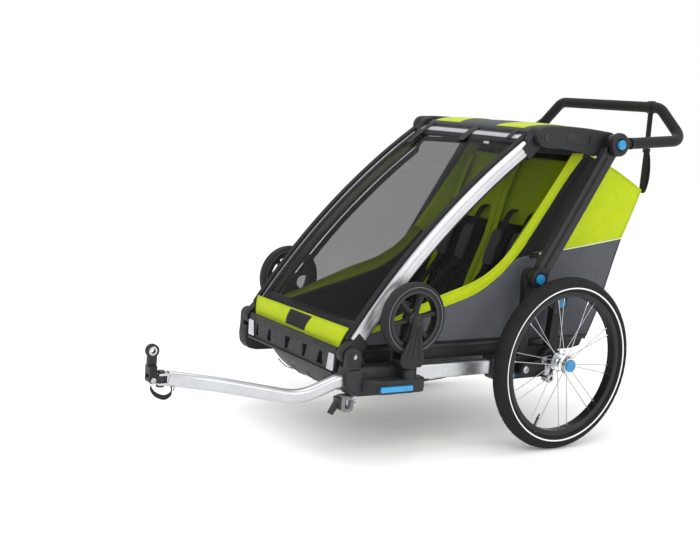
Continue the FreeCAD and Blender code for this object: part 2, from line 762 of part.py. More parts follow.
# Rear frame: two posts that swing down over the uprights.
def rear_post(side, sign):
    """A straight post; its top eye is wider than the bar in it, by the linkage's play."""
    post = Piece("rear_post")
    span = across(sign, post_in, post_out)
    half = S.post_depth / 2
    length = distance(LOCK, HUB)
    outline = [along(LOCK, HUB, size(0), -half), along(LOCK, HUB, length, -half),
               along(LOCK, HUB, length, half), along(LOCK, HUB, size(0), half)]
    post.pad("side", outline, span)
    post.disc("side", LOCK, half + 4, span)
    post.disc("side", HUB, half + 4, span)
    inner, outer = across(sign, post_in, post_out - 6)
    post.bore("side", LOCK, pivot_bore, (inner, outer))
    post.bore("side", HUB, S.bar_radius + S.post_eye_clearance, span)
    pocket = across(sign, post_out - 5, post_out)
    post.bore("side", LOCK, S.button_radius + S.button_gap, pocket)
    return post.done(f"rear_post_{side}")


for side, sign in SIDES:
    rear_post(side, sign)


# Suspension arms and road wheels
def suspension_arm(side, sign):
    """A trailing arm with the wheel's stub axle, behind its pivot on the rear casting."""
    arm = Piece("suspension_arm")
    span = across(sign, post_in, post_out)
    pivot = (S.arm_pivot_y, S.arm_pivot_z)
    hub = (size(0), S.wheel_radius)
    half = S.arm_depth / 2
    arm.disc("side", pivot, half, span)
    arm.disc("side", hub, half + 4, span)
    web = [along(pivot, hub, size(0), -half * 0.8), along(pivot, hub, distance(pivot, hub), -half),
           along(pivot, hub, distance(pivot, hub), half), along(pivot, hub, size(0), half * 0.8)]
    arm.pad("side", web, span)
    lug = box_outline(-13, S.arm_pivot_z - 30, 9, S.wheel_radius)
    arm.pad("side", lug, span)
    arm.disc("side", (-2, S.arm_pivot_z - 32), 13, span)
    axle_end = S.track_half + S.hub_outer - 8
    arm.disc("side", hub, S.axle_radius, across(sign, post_in + 4, axle_end))
    arm.bore("side", pivot, pivot_bore, span)
    arm.bore("side", (-2, S.arm_pivot_z - 32), 5, span)
    return arm.done(f"suspension_arm_{side}")


def adjuster_knob(side, sign):
    """A knob on the rear casting's face that sets how stiff the suspension is."""
    knob = Piece("adjuster_knob")
    start = link_out + S.socket_gap
    knob.disc("side", knob_at(), S.knob_radius, across(sign, start, start + 16))
    knob.disc("side", knob_at(), S.knob_radius - 3, across(sign, start + 12, start + 22))
    return knob.done(f"adjuster_knob_{side}")


def knob_at():
    return S.arm_pivot_y - 42, S.arm_pivot_z - 16


def ring_cut(outer, tool):
    cut = doc.addObject("Part::Cut", "cut")
    cut.Base = outer
    cut.Tool = tool
    return cut


def torus(ring_radius, section_radius):
    ring = doc.addObject("Part::Torus", "ring")
    bind(ring, "Radius1", ring_radius)
    bind(ring, "Radius2", section_radius)
    ring.Placement.Rotation = Rotation(Vector(0, 1, 0), 90)
    return ring


def cylinder_x(radius, length):
    """A cylinder about X, centred on the origin."""
    rod = doc.addObject("Part::Cylinder", "rod")
    bind(rod, "Radius", radius)
    bind(rod, "Height", length)
    bind(rod, "Placement.Base.x", -size(length) / 2)
    rod.Placement.Rotation = Rotation(Vector(0, 1, 0), 90)
    return rod


def tyre(side, sign):
    """A C-shaped tyre that stands on the rim's flanges."""
    middle = S.wheel_radius - S.tyre_section
    shell = ring_cut(torus(middle, S.tyre_section), torus(middle, S.tyre_section - S.tyre_wall))
    casing = ring_cut(shell, cylinder_x(S.rim_outer + S.socket_gap, S.tyre_section * 3))
    place(casing, size(sign) * S.track_half, S.axle_y, S.wheel_radius)
    return keep(casing, f"tyre_{side}")


def rim(side, sign):
    ring = Piece("rim", size(sign) * S.track_half, None, S.wheel_radius)
    half, outer, wall = S.rim_half_width, S.rim_outer, S.rim_wall
    inner = outer - S.rim_depth
    ring.turned([(-half + 3, inner), (half - 3, inner), (half, inner + 5), (half, outer),
                 (half - wall * 2, outer), (half - wall * 2, inner + 7), (half - 6, inner + wall),
                 (6 - half, inner + wall), (wall * 2 - half, inner + 7), (wall * 2 - half, outer),
                 (-half, outer), (-half, inner + 5)])
    return ring.done(f"rim_{side}")


def spokes(side, sign):
    """Straight spokes in pairs, from the hub's two flanges to the middle of the rim."""
    count = int(S.spoke_count.number)
    flange = (S.hub_flange_radius + S.socket_gap).number
    gap = S.hub_flange_gap.number
    reach = (S.rim_outer - S.rim_depth).number
    rods = []
    for i in range(count):
        side_x = gap if i % 2 else -gap
        turn = 2 * math.pi * (i + (0.28 if i % 2 else -0.28)) / count
        heel = 2 * math.pi * i / count
        start = Vector(side_x, flange * math.sin(heel), flange * math.cos(heel))
        end = Vector(side_x * 0.12, reach * math.sin(turn), reach * math.cos(turn))
        run = end - start
        rods.append(Part.makeCylinder(S.spoke_radius.number, run.Length - 0.4, start, run))
    name = f"spokes_{side}"
    return solid(name, Part.makeCompound(rods), size(sign) * S.track_half, S.axle_y, S.wheel_radius)


def hub(side, sign):
    body = Piece("hub", size(sign) * S.track_half, None, S.wheel_radius)
    flange, barrel, gap = S.hub_flange_radius, S.hub_barrel_radius, S.hub_flange_gap
    bore = S.axle_radius + S.running_fit
    recess, cap = S.hub_button_radius + S.button_gap, S.hub_cap_radius
    inner, outer, end = S.hub_inner, S.hub_outer, S.hub_outer + S.hub_cap_length
    cap_start = outer - S.hub_cap_length - 2
    outline = [(-inner, bore), (outer - 6, bore), (outer - 6, recess), (end, recess), (end, cap),
               (cap_start, cap), (cap_start, barrel), (gap + 1.2, barrel), (gap + 1.2, flange),
               (gap - 1.2, flange), (gap - 1.2, barrel), (1.2 - gap, barrel), (1.2 - gap, flange),
               (-1.2 - gap, flange), (-1.2 - gap, barrel), (-inner, barrel)]
    body.turned([(size(sign) * x, r) for x, r in outline])
    return body.done(f"hub_{side}")


def hub_button(side, sign):
    start = S.track_half + S.hub_outer - 6 + S.button_travel + 1
    end = S.track_half + S.hub_outer + S.hub_cap_length + S.hub_button_stands
    button = Piece("hub_button")
    button.disc("side", (0, S.wheel_radius), S.hub_button_radius, across(sign, start, end))
    return button.done(f"hub_button_{side}")


for side, sign in SIDES:
    suspension_arm(side, sign)
    adjuster_knob(side, sign)
    tyre(side, sign)
    rim(side, sign)
    spokes(side, sign)
    hub(side, sign)
    hub_button(side, sign)


# Handlebar
def handlebar():
    """One tube: two arms, two slanted corners and the crossbar behind the trailer."""
    axle = S.axle_y.number
    radius = S.grip_radius.number
    start_y, corner_y = (S.hub_y + 60).number + axle, S.grip_corner_y.number + axle
    low, high = S.grip_corner_z.number, S.grip_cross_z.number
    arm_x, cross_x = S.grip_x.number, S.grip_cross_half.number
    begin_z = arm_height(60)
    route = [(arm_x, start_y, begin_z), (arm_x, corner_y, low), (cross_x, corner_y, high),
             (-cross_x, corner_y, high), (-arm_x, corner_y, low), (-arm_x, start_y, begin_z)]
    points = [Vector(*p) for p in route]
    return solid("handlebar", round_tube(points, [46, 52, 52, 46], radius))


def arm_height(run):
    """Height of the handlebar arm's middle line, a distance behind the handlebar axis."""
    slope = (S.grip_corner_z - S.hub_z) / (S.grip_corner_y - S.hub_y)
    return (S.hub_z + slope * run).number


def handle_hubs():
    """The covers that carry the handlebar's arms on the handlebar axis."""
    hubs = []
    axle = S.axle_y.number
    for _, sign in SIDES:
        low, high = across(sign, cover_in, cover_out)
        middle = Vector(low.number, S.hub_y.number + axle, S.hub_z.number)
        wide = (high - low).number
        cover = Part.makeCylinder(S.hub_cover_radius.number, wide, middle, Vector(1, 0, 0))
        arm_x = sign * S.grip_x.number
        start = Vector(arm_x, middle.y + 42, arm_height(42))
        aim = Vector(arm_x, S.grip_corner_y.number + axle, S.grip_corner_z.number) - start
        radius = S.grip_radius.number
        sleeve = Part.makeCylinder(radius + 3.5, 50, start, aim)
        web_low, web_high = across(sign, cover_in, S.grip_x + S.grip_radius)
        web = Part.makeBox((web_high - web_low).number, 60, 30,
                           Vector(web_low.number, middle.y, middle.z - 14))
        gap = S.socket_gap.number
        hole_start = Vector(arm_x, middle.y + 60 - gap, arm_height(60))
        hole = Part.makeCylinder(radius + gap, 60, hole_start, aim)
        pocket_low = across(sign, cover_out - 12, cover_out)[0]
        pocket = Part.makeCylinder((S.button_radius + S.button_gap).number, 12,
                                   Vector(pocket_low.number, middle.y, middle.z), Vector(1, 0, 0))
        bar_hole = Part.makeCylinder((S.bar_radius + S.running_fit).number, wide, middle,
                                     Vector(1, 0, 0))
        hubs.append(cover.fuse([sleeve, web]).cut([hole, pocket, bar_hole]))
    return solid("handle_hubs", Part.makeCompound(hubs))


def push_button(name, sign, point, face):
    """A round button that stands out of a face and has room to travel behind it."""
    button = Piece("push_button")
    end = face + S.button_stands
    span = across(sign, end - S.button_long + S.button_travel + 1, end)
    button.disc("side", point, S.button_radius, span)
    return button.done(name)


def wrist_strap():
    strap = Piece("wrist_strap", x=S.grip_cross_half - 46)
    top = S.grip_cross_z - S.grip_radius - S.socket_gap
    half = S.strap_thick
    outline = box_outline(S.grip_corner_y - half, top - S.strap_drop, S.grip_corner_y + half, top)
    strap.pad("side", outline, (size(0), S.strap_wide))
    return strap.done("wrist_strap")


handlebar()
handle_hubs()
wrist_strap()
for side, sign in SIDES:
    push_button(f"handle_button_{side}", sign, HUB, cover_out)
    low_face = post_out
    lock = Piece("fold_lock_button")
    lock.disc("side", LOCK, S.button_radius, across(sign, low_face - 1 + S.socket_gap, low_face + 8))
    lock.done(f"fold_lock_button_{side}")
    push_button(f"upright_button_{side}", sign, release_at(), link_out)


# Front casters, stowed upside down on the front castings
def caster(side, sign):
    x = size(sign) * S.caster_x
    shoulder = S.caster_boss_top + S.socket_gap
    post = Piece("caster_post")
    post.disc("plan", (x, S.caster_y), S.caster_post_radius, (S.caster_boss_low + 8, shoulder + 6))
    post.disc("plan", (x, S.caster_y), S.caster_post_radius + 5, (shoulder, shoulder + 7))
    post.disc("plan", (x, S.caster_y), S.caster_post_radius - 2, (shoulder, shoulder + 20))
    post.done(f"caster_post_{side}")

    fork = Piece("caster_fork")
    inner = S.caster_half_width + 3
    outer = inner + S.caster_leg_thick
    crown_low = shoulder + 7 + S.socket_gap
    crown_high = crown_low + 14
    crown = box_outline(x - outer, S.caster_y - 15, x + outer, S.caster_y + 15)
    fork.pad("plan", crown, (crown_low, crown_high))
    for leg in (LEFT, RIGHT):
        low, high = across(leg, inner, outer)
        legs = box_outline(S.caster_y - 13, crown_low + 2, S.caster_y + 13, S.caster_z)
        fork.pad("side", legs, (x + low, x + high))
        fork.disc("side", (S.caster_y, S.caster_z), 14, (x + low, x + high))
    fork.disc("side", (S.caster_y, S.caster_z), 4, (x - outer - 3, x + outer + 3))
    stub = S.caster_post_radius - 2 + S.running_fit
    fork.bore("plan", (x, S.caster_y), stub, (crown_low, crown_high))
    fork.done(f"caster_fork_{side}")

    wheel = Piece("rim", x, S.axle_y + S.caster_y, S.caster_z)
    half, reach = S.caster_half_width, S.caster_rim_radius
    bore = 4 + S.running_fit
    wheel.turned([(-half, bore), (half, bore), (half, 17), (5, 20), (5, reach - 12), (half - 3, reach - 8),
                  (half - 3, reach), (3 - half, reach), (3 - half, reach - 8), (-5, reach - 12),
                  (-5, 20), (-half, 17)])

    tread = Piece("tread", x, S.axle_y + S.caster_y, S.caster_z)
    outside = S.caster_radius
    tread.turned([(3 - half, reach), (half - 3, reach), (half, reach + 5), (half, outside - 7),
                  (half - 6, outside), (6 - half, outside), (-half, outside - 7), (-half, reach + 5)])
    group(f"caster_wheel_{side}", [wheel.done(), tread.done()])

    latch = Piece("caster_latch")
    start = S.caster_shelf_out + S.socket_gap
    low = S.caster_boss_low + 9
    middle = S.caster_y - S.latch_lead
    bar = box_outline(middle - S.latch_half, low, middle + S.latch_half - 8, low + S.latch_height)
    latch.pad("side", bar, across(sign, start, start + S.latch_thick))
    latch.done(f"caster_latch_{side}")


for side, sign in SIDES:
    caster(side, sign)


# Tow arm and hitch
def tow_arm():
    """A flattened tube that dips from the left front casting and rises to the bicycle's axle."""
    axle = S.axle_y.number
    x, z = S.tow_x.number, S.tow_z.number
    start_y, front = S.rail_front.number - 16, S.front_casting_front.number
    tip_y, tip_z = S.tow_tip_y.number, S.tow_tip_z.number
    route = [(start_y, z), (front - 12, z), (front - 125, z - 38), (tip_y + 130, tip_z - 24),
             (tip_y, tip_z)]
    points = [Vector(x, y + axle, height) for y, height in route]
    path = bent_path(points, [90, 170, 400])
    heading = points[1] - points[0]
    heading.normalize()
    width, height, wall = S.tow_width.number, S.tow_height.number, S.tow_wall.number
    outer = rounded_section(points[0], heading, width, height, 11)
    inner = rounded_section(points[0], heading, width - 2 * wall, height - 2 * wall, 8)
    tube = path.makePipeShell([outer], True, False).cut(path.makePipeShell([inner], True, False))
    pin_y = (S.front_casting_front + 40).number + axle
    pin = Part.makeCylinder((S.tow_pin_radius + S.running_fit).number, 200,
                            Vector(x, pin_y, z - 100), Vector(0, 0, 1))
    clevis_parts = []
    for low in (yoke_half(), -yoke_half() - 5):
        clevis_parts.append(Part.makeBox(24, 32, 5, Vector(x - 12, tip_y + axle - 24, tip_z + low)))
    plug = Part.makeBox(24, 12, 2 * yoke_half() + 10,
                        Vector(x - 12, tip_y + axle - 4, tip_z - yoke_half() - 5))
    hole = Part.makeCylinder(4 + S.running_fit.number, 60,
                             Vector(x, tip_y + axle - 16, tip_z - 30), Vector(0, 0, 1))
    return solid("tow_arm", tube.cut(pin).fuse(clevis_parts + [plug]).cut(hole).removeSplitter())


def yoke_half():
    """Half the height of the gap in the tow arm's front clevis."""
    return 9


def tow_pin():
    """The pin that locks the tow arm in its socket, with the loop it is pulled by."""
    pin_y = S.front_casting_front + 40
    pin = Piece("tow_pin", x=S.tow_x)
    bottom = S.front_casting_low - S.socket_gap
    at = (size(0), pin_y)
    pin.disc("plan", at, S.tow_pin_radius, (bottom - 4, S.casting_top - 4))
    pin.disc("plan", at, S.tow_pin_radius + 5, (bottom - 5, bottom))
    loop = box_outline(pin_y - 16, bottom - 27, pin_y + 16, bottom - 4)
    pin.pad("side", loop, (size(-4), size(4)))
    hole = box_outline(pin_y - 11, bottom - 22, pin_y + 11, bottom - 9)
    pin.cut("side", hole, (size(-4), size(4)))
    return pin.done("tow_pin")


def hitch_yoke():
    """The block that turns about an upright pin in the tow arm's front end."""
    yoke = Piece("hitch_yoke", x=S.tow_x)
    y, z = S.tow_tip_y - 16, S.tow_tip_z
    half = yoke_half() - 0.3
    yoke.disc("plan", (0, y), 11, (z - half, z + half))
    yoke.pad("plan", box_outline(-9, y - 24, 9, y), (z - half, z + half))
    yoke.disc("plan", (0, y), 4, (z - yoke_half() - 9, z + yoke_half() + 9))
    yoke.disc("side", (y - 24, z), half, (size(-9), size(9)))
    yoke.bore("side", (y - 24, z), 4 + S.running_fit, (size(-9), size(9)))
    return yoke.done("hitch_yoke")


def hitch_block():
    """The fork that tilts on the yoke, with the hole that the bicycle's axle goes through."""
    block = Piece("hitch_block", x=S.tow_x)
    y, z = S.tow_tip_y - 40, S.tow_tip_z
    for sign in (LEFT, RIGHT):
        block.disc("side", (y, z), 9, across(sign, 9.3, 14))
        block.pad("side", box_outline(y - 9, z, y + 9, z + 34), across(sign, 9.3, 14))
    block.pad("side", box_outline(y - 9, z + 13, y + 9, z + 34), (size(-14), size(14)))
    block.disc("side", (y, z), 4, (size(-16), size(16)))
    block.disc("side", (y, z + 68), 16, (size(-5), size(5)))
    block.pad("side", box_outline(y - 11, z + 30, y + 11, z + 68), (size(-5), size(5)))
    block.bore("side", (y, z + 68), S.hitch_bore, (size(-5), size(5)))
    return block.done("hitch_block")


tow_arm()
tow_pin()
hitch_yoke()
hitch_block()


# Soft pieces, as plain solids
def side_fabric(side, sign):
    """One side wall: window, coloured band and lower panel."""
    wall = Piece("side_fabric")
    top = S.elbow_z - 32
    length, lean = distance(FOOT, ELBOW), S.pillar_bow - 18
    outline = [(S.foot_y + 28, soft_low), along(FOOT, ELBOW, length * 0.25, lean * 0.7),
               along(FOOT, ELBOW, length * 0.5, lean), along(FOOT, ELBOW, length * 0.75, lean * 0.7),
               (S.elbow_y - 30, top), (S.hub_y - 18, top), (S.lock_y + 48, S.lock_z + 44),
               (S.lock_y + 22, soft_low)]
    wall.pad("side", outline, across(sign, cabin_inner, S.cabin_half))
    return wall.done(f"side_fabric_{side}")


def cargo_bag():
    """The bag behind the seat, open towards the cabin."""
    bag = Piece("cargo_bag")
    low = soft_low
    front_low, front_high = (S.lock_y + 26, low), (S.lock_y + 52, S.lock_z + 46)
    top = (S.hub_y - 14, S.elbow_z - 40)
    back = [(S.hub_y + 219, 742), (S.hub_y + 155, 593), (S.hub_y + 109, 445), (S.tub_rear, low)]
    bag.pad("side", [front_low, front_high, top, *back], across(LEFT, -S.cabin_half, S.cabin_half))
    wall = S.fabric
    inner = [(S.lock_y, low + wall), (S.lock_y, S.lock_z), (S.hub_y - 60, S.elbow_z - 60),
             (S.hub_y - 8, S.elbow_z - 60), (S.hub_y + 207, 738), (S.hub_y + 147, 595),
             (S.hub_y + 102, 447), (S.tub_rear - wall, low + wall)]
    bag.cut("side", inner, across(LEFT, -cabin_inner, cabin_inner))
    return bag.done("cargo_bag")


def seat_cushion():
    cushion = Piece("seat_cushion")
    low = S.tub_low + S.tub_wall + S.socket_gap
    front, rear = size(-385), size(-205)
    outline = box_outline(front, low, rear, low + S.seat_height)
    half = cabin_inner - 4
    cushion.pad("side", outline, (-half, half))
    cushion.softened(Vector(1, 0, 0), 12)
    return cushion.done("seat_cushion")


def seat_back():
    """The sling that the children lean on, from the seat to the roof's rear bar."""
    back = Piece("seat_back")
    base = S.tub_step + S.tub_wall + S.socket_gap
    thick = 22
    outline = [(S.lock_y - 15, base), (S.hub_y - 68, S.hub_z - 62), (S.hub_y - 68 + thick, S.hub_z - 62),
               (S.lock_y - 15 + thick, base)]
    half = cabin_inner - 4
    back.pad("side", outline, (-half, half))
    return back.done("seat_back")


for side, sign in SIDES:
    side_fabric(side, sign)
cargo_bag()
seat_cushion()
seat_back()

doc.recompute()
for thing in doc.Objects:
    if "Invalid" in thing.State or "Error" in thing.State:
        raise RuntimeError(f"{thing.Name} did not recompute")
for node in NODES:
    if node.Shape.isNull() or not node.Shape.isValid():
        raise RuntimeError(f"{node.Label} has no valid shape")

os.makedirs("parts", exist_ok=True)
for node in NODES:
    node.Shape.exportStep(f"parts/{node.Label}.step")
print(len(NODES), "pieces")
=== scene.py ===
import math

import bmesh
import bpy
from mathutils import Matrix, Vector, noise


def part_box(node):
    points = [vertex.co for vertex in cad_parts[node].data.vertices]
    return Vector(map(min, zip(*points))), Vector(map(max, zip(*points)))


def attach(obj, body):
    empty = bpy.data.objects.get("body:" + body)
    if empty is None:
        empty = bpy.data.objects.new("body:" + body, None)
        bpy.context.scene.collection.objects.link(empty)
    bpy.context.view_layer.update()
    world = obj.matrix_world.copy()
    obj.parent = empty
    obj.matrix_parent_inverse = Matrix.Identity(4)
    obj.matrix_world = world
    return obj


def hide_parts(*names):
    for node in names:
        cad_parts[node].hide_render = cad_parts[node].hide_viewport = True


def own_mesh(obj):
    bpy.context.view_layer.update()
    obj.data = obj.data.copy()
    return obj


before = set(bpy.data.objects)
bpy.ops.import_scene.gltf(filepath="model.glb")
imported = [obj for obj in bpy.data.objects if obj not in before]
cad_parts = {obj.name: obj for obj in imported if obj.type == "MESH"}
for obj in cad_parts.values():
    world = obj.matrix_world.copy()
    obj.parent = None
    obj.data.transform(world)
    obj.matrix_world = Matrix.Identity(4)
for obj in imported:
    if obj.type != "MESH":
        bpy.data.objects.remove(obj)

# A folding two-seat child bicycle trailer. Metres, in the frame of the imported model: the front
# looks along -Y, the tow arm is on +X, +Z is up. Side outlines are (y, z) pairs whose y is
# counted from the road wheels' axle, as in the CAD source.

for spare in ("Cube", "Light", "Camera"):
    if spare in bpy.data.objects:
        bpy.data.objects.remove(bpy.data.objects[spare])
bpy.context.view_layer.update()

hub_low, hub_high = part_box("hub_left")
AXLE = (hub_low[1] + hub_high[1]) / 2
TRACK = 0.362
CABIN = 0.238
FOOT, ELBOW = (-0.670, 0.291), (-0.086, 0.884)
HUB, LOCK = (0.160, 0.877), (-0.083, 0.488)
WHEEL_RADIUS = 0.250
OUTER_FACE = 0.2972
PILLAR_BOW = 0.040
CASTER_X = 0.325
TOW_X = 0.272
ROOF_HALF = 0.244
SEAT_X = 0.113
SIDES = (("left", 1), ("right", -1))


def at(x, y, z):
    return Vector((x, y + AXLE, z))


# ---------------------------------------------------------------- curves and meshes

def arch(t):
    """0 at both ends and 1 in the middle."""
    return math.sin(math.pi * t)


def spline(points, count):
    """Evenly spaced points on a smooth curve through the given ones."""
    points = [Vector(p) for p in points]
    ends = [points[0] * 2 - points[1], *points, points[-1] * 2 - points[-2]]
    fine = []
    for a, b, c, d in zip(ends, ends[1:], ends[2:], ends[3:]):
        for i in range(24):
            t = i / 24
            fine.append(0.5 * (2 * b + (c - a) * t + (2 * a - 5 * b + 4 * c - d) * t * t
                               + (3 * b - a - 3 * c + d) * t ** 3))
    fine.append(points[-1])
    return spaced(fine, count)


def spaced(line, count):
    """Evenly spaced points along a line of points."""
    runs = [0.0]
    for a, b in zip(line, line[1:]):
        runs.append(runs[-1] + (b - a).length)
    made, k = [], 0
    for i in range(count):
        want = runs[-1] * i / (count - 1)
        while k < len(runs) - 2 and runs[k + 1] < want:
            k += 1
        span = runs[k + 1] - runs[k]
        made.append(line[k].lerp(line[k + 1], (want - runs[k]) / span if span > 1e-12 else 0))
    return made


def mesh_of(name, verts, faces):
    mesh = bpy.data.meshes.new(name)
    mesh.from_pydata([tuple(v) for v in verts], [], faces)
    mesh.validate()
    return mesh


def mesh_from(name, bm):
    bmesh.ops.recalc_face_normals(bm, faces=bm.faces)
    mesh = bpy.data.meshes.new(name)
    bm.to_mesh(mesh)
    bm.free()
    return mesh


def piece(name, mesh, finish, body, stands_for=(), angle=38):
    """A mesh as a piece of the trailer that moves with a body."""
    made = bpy.data.objects.new(name, mesh)
    bpy.context.scene.collection.objects.link(made)
    if not mesh.materials:
        for one in finish if isinstance(finish, (list, tuple)) else [finish]:
            mesh.materials.append(one)
    mesh.shade_smooth()
    mesh.set_sharp_from_angle(angle=math.radians(angle))
    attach(made, body)
    for node in stands_for:
        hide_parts(node)
    return made


def joined(meshes, name):
    """Several meshes as one."""
    bm = bmesh.new()
    for mesh in meshes:
        bm.from_mesh(mesh)
    made = bpy.data.meshes.new(name)
    bm.to_mesh(made)
    bm.free()
    return made


def in_plane(plane, a, b, depth):
    """A point of an outline: side outlines are (y, z), front (x, z) and plan (x, y)."""
    if plane == "side":
        return at(depth, a, b)
    if plane == "front":
        return at(a, depth, b)
    return at(a, b, depth)


def prism(plane, outline, low, high, rim=0.003, steps=3):
    """An outline given thickness, with rounded rims."""
    bm = bmesh.new()
    verts = [bm.verts.new(in_plane(plane, a, b, low)) for a, b in outline]
    face = bm.faces.new(verts)
    shift = in_plane(plane, 0, 0, high) - in_plane(plane, 0, 0, low)
    grown = bmesh.ops.extrude_face_region(bm, geom=[face])["geom"]
    bmesh.ops.translate(bm, vec=shift, verts=[v for v in grown
                                              if isinstance(v, bmesh.types.BMVert)])
    bmesh.ops.recalc_face_normals(bm, faces=bm.faces)
    if rim:
        along = shift.normalized()
        rims = [e for e in bm.edges
                if abs((e.verts[1].co - e.verts[0].co).normalized().dot(along)) < 0.5]
        bmesh.ops.bevel(bm, geom=rims, offset=rim, segments=steps, profile=0.5,
                        affect="EDGES", clamp_overlap=True)
    return mesh_from("prism", bm)


def slab(outline, near, far, rim=0.003, steps=3):
    """A side outline between two planes across the trailer, given in either order."""
    return prism("side", outline, *sorted((near, far)), rim, steps)


def facing(sign, profile):
    """A profile turned to the left side (1) or the right side (-1)."""
    return [(sign * a, b) for a, b in profile]


def rounded(outline, radius, steps=5):
    """An outline with its corners rounded."""
    made = []
    count = len(outline)
    for i in range(count):
        before, here, after = (Vector(outline[j % count]) for j in (i - 1, i, i + 1))
        back, on = (before - here), (after - here)
        reach = min(radius, back.length * 0.45, on.length * 0.45)
        a, b = here + back.normalized() * reach, here + on.normalized() * reach
        for k in range(steps + 1):
            t = k / steps
            made.append(tuple(a * (1 - t) ** 2 + here * 2 * t * (1 - t) + b * t * t))
    return made


def disc_outline(centre, radius, steps=40, start=0.0, turn=2 * math.pi):
    full = abs(turn - 2 * math.pi) < 1e-6
    count = steps if full else steps + 1
    return [(centre[0] + radius * math.cos(start + turn * i / steps),
             centre[1] + radius * math.sin(start + turn * i / steps)) for i in range(count)]


def knuckle(centre, radius, toward, reach, half):
    """A round end with a straight neck towards another point."""
    aim = Vector((toward[0] - centre[0], toward[1] - centre[1])).normalized()
    side = Vector((-aim.y, aim.x))
    base = math.atan2(aim.y, aim.x)
    opening = math.asin(min(0.98, half / radius)) if half < radius else math.pi / 2
    arc = disc_outline(centre, radius, 32, base + opening, 2 * math.pi - 2 * opening)
    tip = Vector(centre) + aim * reach
    return [*arc, tuple(tip - side * half), tuple(tip + side * half)]


def turned(profile, centre, axis="x", steps=64, wave=None):
    """A profile of (along, radius) pairs turned about an axis through a centre."""
    verts, faces = [], []
    for i in range(steps):
        angle = 2 * math.pi * i / steps
        for along, radius in profile:
            if wave:
                radius = radius + wave(i, along, radius)
            c, s = radius * math.cos(angle), radius * math.sin(angle)
            local = {"x": (along, c, s), "y": (c, along, s), "z": (c, s, along)}[axis]
            verts.append(centre + Vector(local))
    n = len(profile)
    for i in range(steps):
        j = (i + 1) % steps
        for k in range(n - 1):
            faces.append((i * n + k, i * n + k + 1, j * n + k + 1, j * n + k))
    bm = bmesh.new()
    made = [bm.verts.new(v) for v in verts]
    for f in faces:
        bm.faces.new([made[k] for k in f])
    bmesh.ops.remove_doubles(bm, verts=bm.verts, dist=1e-6)
    return mesh_from("turned", bm)


def swept(path, section, across=(1, 0, 0), caps=True):
    """A closed section of (across, up) pairs carried along a path in a plane square to across."""
    side = Vector(across).normalized()
    verts, faces = [], []
    n = len(section)
    for i, here in enumerate(path):
        before, after = path[max(i - 1, 0)], path[min(i + 1, len(path) - 1)]
        run = (after - before).normalized()
        up = side.cross(run).normalized()
        verts += [here + side * a + up * b for a, b in section]
    for i in range(len(path) - 1):
        for k in range(n):
            m = (k + 1) % n
            faces.append((i * n + k, i * n + m, (i + 1) * n + m, (i + 1) * n + k))
    if caps:
        faces.append(tuple(range(n)))
        faces.append(tuple(range((len(path) - 1) * n, len(path) * n)))
    bm = bmesh.new()
    made = [bm.verts.new(v) for v in verts]
    for f in faces:
        bm.faces.new([made[k] for k in f])
    return mesh_from("swept", bm)


def tube(path, radius, sides=10):
    """A round cord or pipe along any path."""
    verts, faces = [], []
    normal = None
    for i, here in enumerate(path):
        run = (path[min(i + 1, len(path) - 1)] - path[max(i - 1, 0)]).normalized()
        if normal is None:
            normal = run.orthogonal().normalized()
        normal = (normal - run * normal.dot(run)).normalized()
        other = run.cross(normal)
        for k in range(sides):
            angle = 2 * math.pi * k / sides
            verts.append(here + (normal * math.cos(angle) + other * math.sin(angle)) * radius)
    for i in range(len(path) - 1):
        for k in range(sides):
            m = (k + 1) % sides
            faces.append((i * sides + k, i * sides + m, (i + 1) * sides + m, (i + 1) * sides + k))
    faces += [tuple(range(sides)), tuple(range((len(path) - 1) * sides, len(path) * sides))]
    return mesh_of("tube", verts, faces)


def grid(rows):
    """A sheet through rows of points."""
    n = len(rows[0])
    verts = [p for row in rows for p in row]
    faces = [(i * n + k, i * n + k + 1, (i + 1) * n + k + 1, (i + 1) * n + k)
             for i in range(len(rows) - 1) for k in range(n - 1)]
    return mesh_of("grid", verts, faces)


def between(low, high, count):
    """Rows of points from one line to another."""
    return [[a.lerp(b, i / (count - 1)) for a, b in zip(low, high)] for i in range(count)]


def swollen(rows, push, across=Vector((1, 0, 0))):
    """Rows moved outwards by a function of their place, from 0 to 1 both ways."""
    m, n = len(rows) - 1, len(rows[0]) - 1
    return [[p + across * push(i / m, k / n, p) for k, p in enumerate(row)]
            for i, row in enumerate(rows)]


def thick(made, depth, offset=0.0):
    solid = made.modifiers.new("thickness", "SOLIDIFY")
    solid.thickness = depth
    solid.offset = offset
    return made


def sheet(name, rows, finish, body, depth, stands_for=(), angle=70, offset=0.0):
    """A piece of cloth through rows of points."""
    return thick(piece(name, grid(rows), finish, body, stands_for, angle=angle), depth,
                 offset)


def ribbon(path, width, depth, across):
    """A strap along a path; across is the direction of its width."""
    a, b = width / 2, depth / 2
    rim = min(b * 0.8, 0.0006)
    section = [(-a, -b + rim), (-a + rim, -b), (a - rim, -b), (a, -b + rim),
               (a, b - rim), (a - rim, b), (-a + rim, b), (-a, b - rim)]
    return swept(path, section, across)


